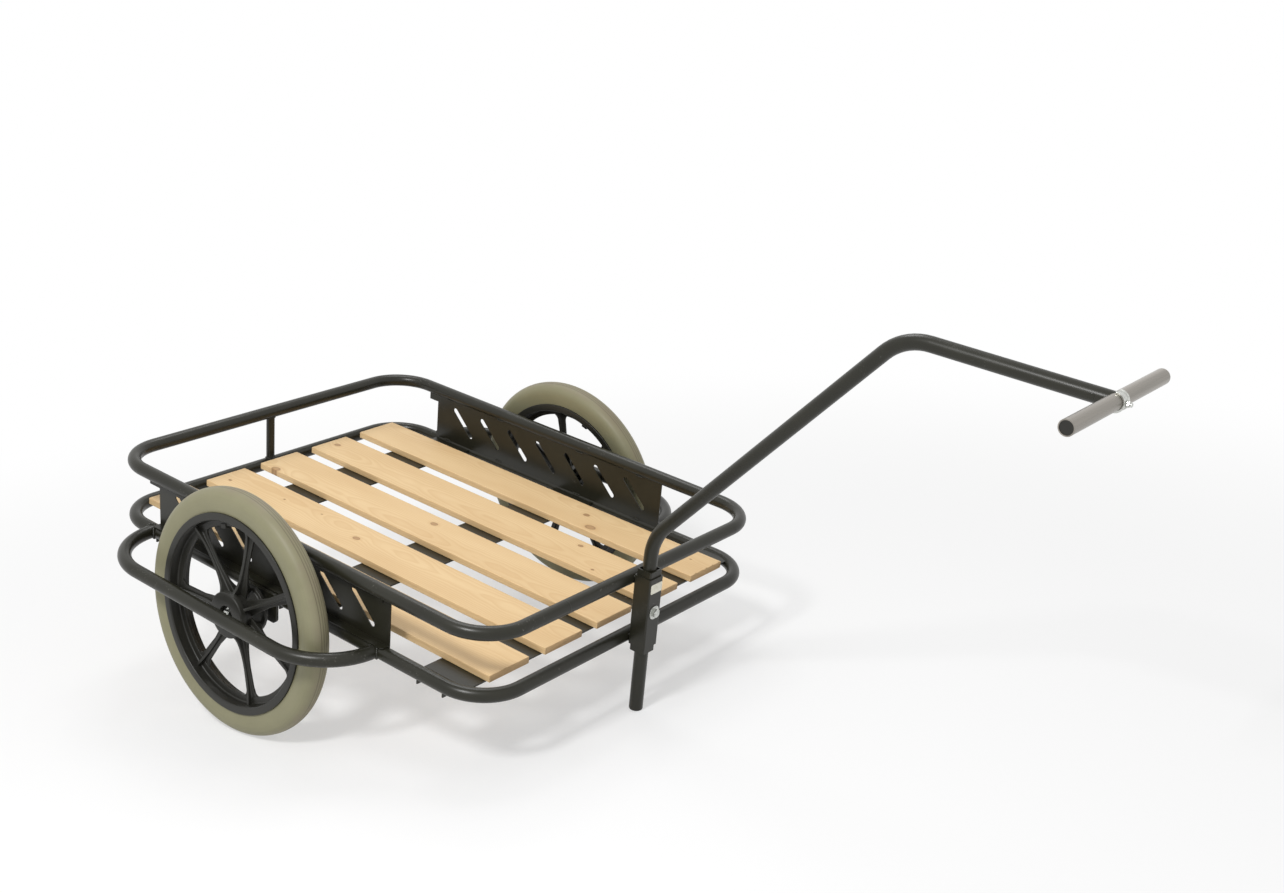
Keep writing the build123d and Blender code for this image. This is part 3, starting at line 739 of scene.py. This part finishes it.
def nut_set(origin, u, v, across, height, washer_r, washer_t, stud_r, stud_out, both=True):
    """A washer, a hexagon on it and a stud's end above, along u x v from an origin."""
    origin, way = np.asarray(origin, float), np.cross(u, v)
    outlines, levels = hexagon(across, height, both)
    parts = [
        stacked(*washer(washer_r, washer_t), origin, u, v),
        stacked(outlines, levels, origin + way * washer_t, u, v),
    ]
    if stud_out > 0:
        end = [(0, 0), (stud_out - 0.0006, 0), (stud_out, 0.0007)]
        parts.append(stacked(ring(stud_r), end, origin + way * (washer_t + height), u, v))
    return together(*parts)


print("a hexagon has", hexagon(0.019, 0.009, True)[0].shape[:2], "points")

# %% [markdown]
# The axle's nut sits in the hub's recess, the sleeve's bolt holds the drawbar, and its nut shows
# behind the sleeve between the rails. Each stands for the plain solid in the same place.

# %% Nuts of the axles and the sleeve
SHOULDER = 0.020
AXLE_NUT = dict(across=0.019, height=0.009, washer_r=0.014, washer_t=0.002, stud_r=0.006, stud_out=0.001)
SLEEVE_HEAD = dict(across=0.016, height=0.0065, washer_r=0.0140, washer_t=0.002, stud_r=0.005, stud_out=0)
for side_name, side in SIDES:
    own = nut_set((0, SHOULDER, 0), Z, X, **AXLE_NUT)
    name = f"{side_name}_axle_nut"
    piece(f"{name}_set", (on_wheel(own[0], side), own[1]), zinc, "zinc", (name,), 30)

front = (SLEEVE_X + SLEEVE_HALF, 0, BOLT_Z)
back = (SLEEVE_X - SLEEVE_HALF, 0, BOLT_Z)
head = nut_set(front, Y, Z, both=False, **SLEEVE_HEAD)
shank_start = (SLEEVE_X - 0.0305, 0, BOLT_Z)
shank = stacked(ring(0.005, 24), [(0, 0.0004), (0.0004, 0), (0.0505, 0)], shank_start, Y, Z)
piece("sleeve_bolt_head", together(head, shank), zinc, "zinc", ("sleeve_bolt",), 30)
nut = stacked(*hexagon(SLEEVE_HEAD["across"], SLEEVE_HEAD["height"], True), back, Z, Y)
piece("sleeve_bolt_nut", nut, zinc, "zinc", ("sleeve_nut",), 30)

# %% [markdown]
# The crossbar is held by a pressed strap with a raised rim along both edges, pulled on by a bolt
# that runs into a round nut set across the drawbar. The strap's section is an outline carried half
# way round the bar.

# %% Strap, its nut and the cross nut in the drawbar
STRAP_HALF = 0.010
STRAP_SECTION = [  # across the bar, outward from its surface, rounding
    (-STRAP_HALF, 0.0002, 0.0002),
    (STRAP_HALF, 0.0002, 0.0002),
    (STRAP_HALF, 0.0036, 0.0008),
    (STRAP_HALF - 0.0022, 0.0036, 0.0006),
    (STRAP_HALF - 0.0034, 0.0022, 0.0008),
    (0.0034 - STRAP_HALF, 0.0022, 0.0008),
    (0.0022 - STRAP_HALF, 0.0036, 0.0006),
    (-STRAP_HALF, 0.0036, 0.0008),
]


def strap():
    """The section at (y, R + o), carried round the bar from -92 to 92 degrees about the front."""
    corners = np.array(STRAP_SECTION)
    y, out = rounded(corners[:, :2], corners[:, 2]).T[:, None]
    angle = np.radians(np.linspace(-92, 92, 65))[:, None]
    radius = HANDLE_R + out
    x, z = HANDLE_X + radius * np.cos(angle), HANDLE_Z + radius * np.sin(angle)
    return shell(np.stack([x, y + 0 * angle, z], -1))


piece("handle_strap_band", strap(), zinc, "zinc", ("handle_strap",), 35)

strap_face = (HANDLE_X + HANDLE_R + 0.0020, 0, HANDLE_Z)
clamp = dict(across=0.0095, height=0.0048, washer_r=0.0054, washer_t=0.0008, stud_r=0.0036, stud_out=0.0043)
clamp_nut = nut_set(strap_face, Z, (0, -1, 0), **clamp)
stud_start = (HANDLE_X - 0.030, 0, HANDLE_Z)
clamp_stud = stacked(ring(0.004, 24), [(0, 0), (0.045, 0)], stud_start, Y, Z)
piece("handle_bolt_nut", together(clamp_nut, clamp_stud), zinc, "zinc", ("handle_bolt",), 30)

cross_start = (HANDLE_X - HANDLE_R - 0.022, -TUBE, HANDLE_Z)
cross_levels = [(-0.0003, 0.0005), (0, 0), (2 * TUBE + 0.0002, 0), (2 * TUBE + 0.0005, 0.0005)]
cross_nut = stacked(ring(0.0055, 32), cross_levels, cross_start, Z, X)
piece("drawbar_cross_nut", cross_nut, paint, "frame_paint", (), 30)

# %% [markdown]
# ## Deck
# Five planed pine boards with eased edges and sawn ends. A cube with a bevel would do for the
# form, but wood needs to know where it is in its own board, so that rings run on round the edges
# and over the ends. Each board is a section carried along it, drawn in at both ends, with its own
# coordinates and a seed kept as fields. The saw splintered the front end of the last board.

# %% Boards
SLAT_W, SLAT_T, SLAT_PITCH = 0.108, 0.015, 0.1515
SLAT_REAR, SLAT_FRONT = -0.472, 0.548
SLATS = 5
LENGTHWISE = 84
EASED = np.array([0, 0.0003, 0.0009, 0.002])
DRAWN_IN = np.array([0.0009, 0.0004, 0.0001, 0])


def board_outline():
    """A rectangle 108 x 15 mm with 2.2 mm edges, with a point about every 4.5 mm."""
    outline = box_outline(SLAT_W, SLAT_T, 0.0022)
    step = np.linalg.norm(np.roll(outline, -1, 0) - outline, axis=1)
    start = np.cumsum(step) - step
    places = np.concatenate([start, np.arange(0.00225, step.sum(), 0.0045)])
    places = np.unique(np.round(places, 6))
    looped = np.concatenate([outline, outline[:1]])
    knots = np.concatenate([start, [step.sum()]])
    return np.stack([np.interp(places, knots, looped[:, way]) for way in (0, 1)], -1)


def board(number):
    """Sections at s along the board, drawn in at the ends, with saw roughness there.

    The last board's front end loses up to 4 mm of its top edge, 1.5 mm (sin 310y + sin 530y + 0.6)."""
    outline = board_outline()
    length = SLAT_FRONT - SLAT_REAR
    s = np.concatenate([EASED, np.linspace(0.012, length - 0.012, LENGTHWISE), length - EASED[::-1]])
    cut = np.concatenate([DRAWN_IN, np.zeros(LENGTHWISE), DRAWN_IN[::-1]])
    y = outline[:, 0] * (1 - (cut[:, None] + 0.0004) / (SLAT_W / 2))
    z = outline[:, 1] * (1 - cut[:, None] / (SLAT_T / 2))
    rough = np.abs(np.random.default_rng(40 + number).normal(0, 0.00012, y.shape))
    rough[6:-6] *= 0.25
    z = z - rough * (z > 0)
    x = SLAT_REAR + s[:, None] + 0 * y
    if number == SLATS - 1:
        bite = 0.0015 * np.clip(np.sin(310 * y) + np.sin(530 * y + 0.8) + 0.6, 0, None)
        at_front = np.clip((s[:, None] - length + 0.006) / 0.006, 0, 1)
        x = x - bite * at_front * np.clip(z / (SLAT_T / 2), 0, 1)
    centre_y = (number - (SLATS - 1) / 2) * SLAT_PITCH
    points, blocks = shell(np.stack([x, y + centre_y, z + SLAT_TOP - SLAT_T / 2], -1))
    middle = ((SLAT_REAR + SLAT_FRONT) / 2, centre_y, SLAT_TOP - SLAT_T / 2)
    return (points, blocks), points - middle


print("board outline", len(board_outline()), "points")

# %% [markdown]
# The pine is pale and oiled. Rings darken it only a little, since late wood in such boards is thin,
# and the sawn ends drink more oil and look darker and pinker. Knots are placed where the boards
# show them, given as a table on the level deck, and the rings are pushed outward round each one.

# %% Pine
KNOTS = (  # x and y on the level deck, radius, darkness
    (-0.4382, -0.1663, 0.0032, 0.95),
    (-0.4240, -0.0480, 0.0085, 0.55),
    (-0.2818, -0.1414, 0.0022, 0.80),
    (-0.1715, -0.1305, 0.0020, 0.70),
    (-0.0350, -0.1541, 0.0066, 0.60),
    (-0.4440, 0.1537, 0.0062, 0.60),
    (0.2050, 0.3120, 0.0060, 0.70),
    (0.2529, 0.2692, 0.0095, 0.50),
    (0.3917, 0.1147, 0.0030, 0.90),
    (0.3003, 0.1822, 0.0050, 0.70),
    (0.4984, 0.3136, 0.0022, 0.80),
    (0.0200, 0.0200, 0.0070, 0.60),
    (0.1400, -0.3050, 0.0060, 0.60),
)
pine, tree, shader = material("Oiled pine")
on_deck, in_board, seed = field(tree, "deck"), field(tree, "board"), field(tree, "seed", "Fac")
core, ring_of_bark, halo, push = 0.0, 0.0, 0.0, 0.0
for x, y, r, dark in KNOTS:
    spot = use(tree, knot, Vector=on_deck, Centre=(x, y, SLAT_TOP), Radius=r)
    core = maths(tree, "MAXIMUM", core, maths(tree, "MULTIPLY", spot["Core"], dark))
    ring_of_bark = maths(tree, "MAXIMUM", ring_of_bark, spot["Bark"])
    halo = maths(tree, "MAXIMUM", halo, spot["Halo"])
    shove = maths(tree, "MULTIPLY", remap(tree, spot["Reach"], 5.0, 1.0), r * 0.95)
    push = maths(tree, "MAXIMUM", push, shove)
grain = use(tree, rings, Board=in_board, Seed=seed, Push=push)
ends = node(tree, "ShaderNodeSeparateXYZ", {"Vector": in_board}).outputs["X"]
sawn = remap(tree, maths(tree, "ABSOLUTE", ends), 0.5092, 0.5098)
tone = blend(tree, remap(tree, grain["Cloud"], 0.3, 0.7), (0.815, 0.598, 0.330, 1), (0.725, 0.505, 0.262, 1))
tone = tint(tree, tone, grain["Late"], 0.25, (0.560, 0.320, 0.125, 1))
tone = blend(tree, remap(tree, grain["Fibre"], 0.35, 0.75, 0.0, 0.20), tone, (0.64, 0.42, 0.21, 1))
tone = tint(tree, tone, sawn, 0.42, (0.50, 0.315, 0.175, 1))
tone = tint(tree, tone, halo, 0.26, (0.55, 0.305, 0.120, 1))
tone = blend(tree, core, tone, (0.300, 0.150, 0.062, 1))
tone = tint(tree, tone, ring_of_bark, 0.55, (0.22, 0.105, 0.045, 1))
planed = remap(tree, grain["Fibre"], 0.3, 0.7, 0.44, 0.58)
gloss = maths(tree, "MULTIPLY_ADD", sawn, 0.2, planed)
height = maths(tree, "MULTIPLY_ADD", grain["Late"], 0.5, maths(tree, "MULTIPLY", grain["Fibre"], 0.6))
dress(tree, shader, tone, gloss, relief(tree, height, 0.00016), 0.35)
print("pine has", len(tree.nodes), "nodes")

# %% The five boards
for number in range(SLATS):
    shape, own = board(number)
    piece(
        f"slat_{number + 1}_board",
        shape,
        pine,
        "wood",
        (f"slat_{number + 1}",),
        35,
        board=own,
        deck=shape[0],
        seed=np.full(len(own), 1.7 + 3.3 * number),
    )

# %% [markdown]
# No fastener shows on top of the boards, so they are held from below: one pan-head screw through
# each bearer into each board. All thirty are one mesh of small stacked rings.

# %% Screws under the bearers
BEARER_UNDER = SLAT_TOP - SLAT_T - 0.003
SCREW_XS = (-0.327, -0.271, 0.070, 0.126, 0.458, 0.514)
PAN_HEAD = [(0, 0), (0.0009, 0.0001), (0.0016, 0.0009), (0.0019, 0.0020)]
screw_ys = (np.arange(SLATS) - (SLATS - 1) / 2) * SLAT_PITCH
screws = [
    stacked(ring(0.0044, 20), PAN_HEAD, (x, y, BEARER_UNDER), X, (0, -1, 0))
    for x in SCREW_XS
    for y in screw_ys
]
piece("deck_screws", together(*screws), zinc, "zinc")


# %% [markdown]
# ## Welds
# The frame is welded, and under the paint each bead still shows its ripples. A bead is a small
# tube carried along the seam, whose radius swells at every ripple and wanders a little, as a hand
# would leave it. A displaced curve with a bevel would need a modifier stack for each seam.

# %% Weld bead
RIPPLE = 0.0019
BEAD_STEP = 0.00045


def bead(path, radius, hint, closed=False, shake=0.0):
    """Radius R (0.84 + 0.22 |sin(pi s / ripple)| + 0.10 sin(s / 4 mm + k)) along s, round ends where open."""
    path = np.asarray(path, float)
    step = np.linalg.norm(np.diff(path, axis=0), axis=1)
    s = np.concatenate([[0], np.cumsum(step)])
    total = s[-1] + (np.linalg.norm(path[0] - path[-1]) if closed else 0)
    ripples = max(1, round(total / RIPPLE))
    waves = max(1, round(total / 0.025)) * 2 * math.pi / total
    swell = 0.84 + 0.22 * np.abs(np.sin(math.pi * s * ripples / total)) + 0.10 * np.sin(s * waves + shake)
    if not closed:
        to_end = np.minimum(s, total - s)
        swell = swell * np.sqrt(np.clip(to_end / (1.6 * radius), 0.02, 1))
    outline = ring(radius, 10)[None] * swell[:, None, None]
    return carried(path, outline, hint, closed)


def straight_bead(start, end, radius, hint, shake=0.0):
    """A bead from one point to another."""
    start, end = np.asarray(start, float), np.asarray(end, float)
    steps = int(np.linalg.norm(end - start) / BEAD_STEP) + 2
    share = np.linspace(0, 1, steps)[:, None]
    return bead(start + (end - start) * share, radius, hint, False, shake)


def round_bead(radius, centre, u, v, bead_r, bow=None, shake=0.0):
    """A bead round centre + R (u cos a + v sin a), lifted along u x v by bow(a)."""
    steps = int(2 * math.pi * radius / BEAD_STEP)
    a = np.linspace(0, 2 * math.pi, steps, endpoint=False)[:, None]
    u, v = np.asarray(u, float), np.asarray(v, float)
    way = np.cross(u, v)
    lifted = bow(a) * way if bow else 0
    path = np.asarray(centre, float) + radius * (u * np.cos(a) + v * np.sin(a)) + lifted
    return bead(path, bead_r, way, True, shake)


print("a round weld has", len(round_bead(0.014, (0, 0, 0), X, Y, 0.0026)[0]), "points")


# %% [markdown]
# Where one tube meets another of the same size, the seam is a saddle: round the joining tube it
# rises and falls by sqrt(R^2 - (r sin a)^2). The guards meet the lower rail this way, and the thin
# rear post meets both rear tubes.

# %% Saddle welds of the guards and the rear post
POST_R, POST_BEAD = 0.0095, 0.0023


def guard_bow(a):
    """How far the rail's surface stands out from its axis, softened at the cusps."""
    return np.sqrt((TUBE * np.cos(a)) ** 2 + 0.002**2)


def post_bow(a):
    """The same for the thin post, which is narrower than the rail."""
    return np.sqrt(TUBE**2 - (POST_R * np.cos(a)) ** 2)


welds = []
for side_name, side in SIDES:
    for number, x in enumerate(GUARD_X):
        foot = (x, side * RAIL_Y, LOWER_Z)
        u, v = (Z, X) if side > 0 else (X, Z)
        turn_start = (lambda a: guard_bow(a + math.pi / 2)) if side > 0 else guard_bow
        size = 0.0034 if x < 0 else 0.0027
        welds.append(round_bead(TUBE, foot, u, v, size, turn_start, number + side))
welds.append(round_bead(POST_R, (REAR_X, 0, LOWER_Z), X, Y, POST_BEAD, post_bow))
welds.append(round_bead(POST_R, (REAR_X, 0, UPPER_Z), X, (0, -1, 0), POST_BEAD, post_bow, 1.0))
print("saddle welds", len(welds))

# %% [markdown]
# The sleeve is welded in front of both rails, above and below each tube. The panels are stitched
# to the rails from inside, and the axle plates to the lower rail and to the axle's collar. The
# bearers end under the lower rail with a short bead on both sides.

# %% Straight welds
SEAM = 0.006
SLEEVE_SEAM_X, PLATE_HALF, PLATE_Y, COLLAR_Y, COLLAR_R = 0.6012, 0.040, 0.4268, 0.4338, 0.0174
STITCH, STITCH_Y, STITCH_ZS = 0.022, 0.4035, (0.2787, 0.3823)
STITCH_XS = (-0.335, -0.165, 0.085, 0.262)
BEARER_HALF, BEARER_END_Y, BEARER_END_Z = 0.018, 0.4010, 0.2746


def seam(start, end, radius, shake):
    """Adds a straight bead between two points of the level cart."""
    welds.append(straight_bead(start, end, radius, Z, shake))


for height in (UPPER_Z, LOWER_Z):
    for z in (height - SEAM, height + SEAM):
        seam((SLEEVE_SEAM_X, -SLEEVE_HALF, z), (SLEEVE_SEAM_X, SLEEVE_HALF, z), 0.0023, height)
for side_name, side in SIDES:
    for x in STITCH_XS:
        for z in STITCH_ZS:
            seam((x, side * STITCH_Y, z), (x + STITCH, side * STITCH_Y, z), 0.0018, x * 40)
    for way in (-1, 1):
        y, z = side * PLATE_Y, LOWER_Z + way * SEAM
        seam((-PLATE_HALF, y, z), (PLATE_HALF, y, z), 0.0022, way)
    collar = (0, side * COLLAR_Y, AXLE_Z - (TRACK - COLLAR_Y) * math.tan(LEAN))
    welds.append(round_bead(COLLAR_R, collar, X, Z, 0.0022, None, side))
    y, z = side * BEARER_END_Y, BEARER_END_Z
    for x in SCREW_XS:
        seam((x - BEARER_HALF, y, z), (x + BEARER_HALF, y, z), 0.0017, x * 30)
print("welds", len(welds))

# %% [markdown]
# Two small marks finish the front: a drop of weld where the liner meets the leg, and the faint
# ring where the upper rail's two tube ends were joined and dressed.

# %% Liner tack and tube joint
LINER_BOTTOM = SLEEVE_BOTTOM - 0.014
tack_end = (SLEEVE_X + TUBE, 0.006, LINER_BOTTOM - 0.001)
tack = straight_bead((SLEEVE_X + TUBE, -0.006, LINER_BOTTOM), tack_end, 0.0026, Z)
joint_path = ring(TUBE, 96) @ np.array([(1, 0, 0), (0, 0, 1)]) + (FRONT_X, -0.205, UPPER_Z)
joint_line = np.broadcast_to(ring(1.0, 12) * (0.00014, 0.0022), (96, 12, 2))
joint_ring = carried(joint_path, joint_line, Y, True)
piece("frame_welds", together(*welds, tack, joint_ring), paint, "frame_paint", (), 60)

# %% [markdown]
# ## Leg and label
# The leg ends in a plastic cap with a worn round edge. The label is a thin plate with rounded
# corners on the sleeve's front face, and it stays blank.

# %% Cap of the leg and the label
LABEL_Z = 0.3845
CAP = [(0, 0.0030), (0.0003, 0.0016), (0.0009, 0.0007), (0.0018, 0.0002), (0.0030, 0)]
cap = stacked(ring(TUBE), CAP, (SLEEVE_X, 0, FOOT_Z), X, Y)
plug = stacked(ring(TUBE - 0.0021), [(0, 0), (0.014, 0)], (SLEEVE_X, 0, FOOT_Z + 0.003), X, Y)
piece("leg_cap", together(cap, plug), plastic, "wheel_plastic", ("foot_plug",), 40)

label = stacked(
    box_outline(0.034, 0.020, 0.0035),
    [(0, 0), (0.00025, 0), (0.0003, 0.0001)],
    (SLEEVE_X + SLEEVE_HALF, 0.001, LABEL_Z),
    Y,
    Z,
)
piece("blank_label", label, vinyl, "frame_paint", (), 30)

# %% [markdown]
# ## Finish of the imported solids
# The tubes, panels, bearers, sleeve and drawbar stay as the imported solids: their form is right, and
# they only need their material and crisp edges.

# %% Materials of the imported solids
for name, obj in frame["nodes"].items():
    plated = name.endswith(("_axle", "_nut", "_bolt", "_strap"))
    capped = name.endswith("_plug")
    chosen = tube_steel if name == "handle" else zinc if plated else plastic if capped else paint
    obj.data.materials.clear()
    obj.data.materials.append(chosen)
    obj.data.set_sharp_from_angle(angle=math.radians(35))
print("solids finished", len(frame["nodes"]))

# %% [markdown]
# ## Stage
# A pale floor that keeps the cart's shadow and turns to plain white farther out, so that no horizon
# shows. Near the cart the camera and mirrors see half floor and half white, which keeps the shadows
# as light as on a studio sweep. For the light on its way round it stays an ordinary pale surface:
# Light Path tells the two apart.

# %% Floor
FLOOR_HALF = 30.0
NEAR_WHITE = 0.5
FADE_START, FADE_END = 1.0, 3.0


def seen(tree):
    """One for rays from the camera, a mirror or glass, and zero for light on its way round."""
    path = node(tree, "ShaderNodeLightPath").outputs
    mirrored = maths(tree, "MAXIMUM", path["Is Glossy Ray"], path["Is Transmission Ray"])
    return maths(tree, "MAXIMUM", path["Is Camera Ray"], mirrored)


corners = FLOOR_HALF * np.array([(-1, -1, 0), (1, -1, 0), (1, 1, 0), (-1, 1, 0)])
floor_mesh = bpy.data.meshes.new("floor")
floor_mesh.from_pydata(corners.tolist(), [], [(0, 1, 2, 3)])
floor = bpy.data.objects.new("floor", floor_mesh)
scene.collection.objects.link(floor)
pale, tree, shader = material("Pale floor")
shader["Base Color"].default_value = (0.90, 0.90, 0.90, 1)
shader["Roughness"].default_value = 0.9
shader["Specular IOR Level"].default_value = 0.0
distance = node(tree, "ShaderNodeVectorMath", {0: on_object(tree)}, operation="LENGTH").outputs["Value"]
span = {"Value": distance, "From Min": FADE_START, "From Max": FADE_END, "To Min": NEAR_WHITE}
fade = node(tree, "ShaderNodeMapRange", span, interpolation_type="SMOOTHSTEP").outputs[0]
share = maths(tree, "MULTIPLY", fade, seen(tree))
white = node(tree, "ShaderNodeEmission", {"Color": (1, 1, 1, 1), "Strength": 1.0}).outputs[0]
surface = tree.nodes["Principled BSDF"].outputs[0]
mixed = node(tree, "ShaderNodeMixShader", {0: share, 1: surface, 2: white}).outputs[0]
tree.links.new(mixed, tree.nodes["Material Output"].inputs["Surface"])
floor_mesh.materials.append(pale)
print("floor fades from", FADE_START, "to", FADE_END, "m")

# %% [markdown]
# Most of the light is even studio light from all round, which is the world. One soft lamp stands
# to the cart's right, high up: it throws the pale shadows to the left and draws a highlight along
# each tube. A broader one hangs above and behind and lights the tops of the rails. Together they
# add up to about one, so a colour renders about as it is written.

# %% World and two lamps
WORLD_LEVEL = 0.56
world = bpy.data.worlds.new("Studio")
scene.world = world
world.use_nodes = True
tree = world.node_tree
lit = tree.nodes["Background"]
lit.inputs["Color"].default_value = (1, 1, 1, 1)
lit.inputs["Strength"].default_value = WORLD_LEVEL
shown = node(tree, "ShaderNodeBackground", {"Color": (1, 1, 1, 1), "Strength": 1.0}).outputs[0]
both = node(tree, "ShaderNodeMixShader", {0: seen(tree), 1: lit.outputs[0], 2: shown}).outputs[0]
tree.links.new(both, tree.nodes["World Output"].inputs["Surface"])


def lamp(name, way, distance, width, power):
    """A square soft lamp along a way from the cart's middle, facing it."""
    data = bpy.data.lights.new(name, "AREA")
    data.shape = "SQUARE"
    data.size = width
    data.energy = power
    obj = bpy.data.objects.new(name, data)
    middle = Vector((0, 0, 0.3))
    obj.location = middle + Vector(way).normalized() * distance
    obj.rotation_euler = (middle - obj.location).to_track_quat("-Z", "Y").to_euler()
    scene.collection.objects.link(obj)
    print(name, "at", [round(value, 2) for value in obj.location])


lamp("key lamp", (0.14, -0.66, 0.73), 4.2, 0.7, 96)
lamp("top lamp", (-0.35, 0.30, 0.90), 3.6, 1.3, 26)

# %% [markdown]
# The camera stands where the photographer stood, a little above the crossbar's height and ahead of
# the cart's right front corner. Its place is given on the level cart and tipped like the rest.

# %% Camera
YAW, PITCH, ROLL = math.radians(129.5612), math.radians(-15.8164), math.radians(-2.7885)
ahead = Vector((math.cos(YAW) * math.cos(PITCH), math.sin(YAW) * math.cos(PITCH), math.sin(PITCH)))
level_right = Vector((math.sin(YAW), -math.cos(YAW), 0))
level_up = level_right.cross(ahead)
right = level_right * math.cos(ROLL) + level_up * math.sin(ROLL)
up = level_up * math.cos(ROLL) - level_right * math.sin(ROLL)
lens = bpy.data.cameras.new("Camera")
lens.lens = 45.975
lens.sensor_width = 36
camera = bpy.data.objects.new("Camera", lens)
camera.matrix_world = Matrix((right, up, -ahead)).transposed().to_4x4()
camera.location = parked((2.295725, -2.294649, 1.818119)).tolist()
scene.collection.objects.link(camera)
scene.camera = camera
scene.view_settings.view_transform = "Standard"
print("camera at", [round(value, 4) for value in camera.location])
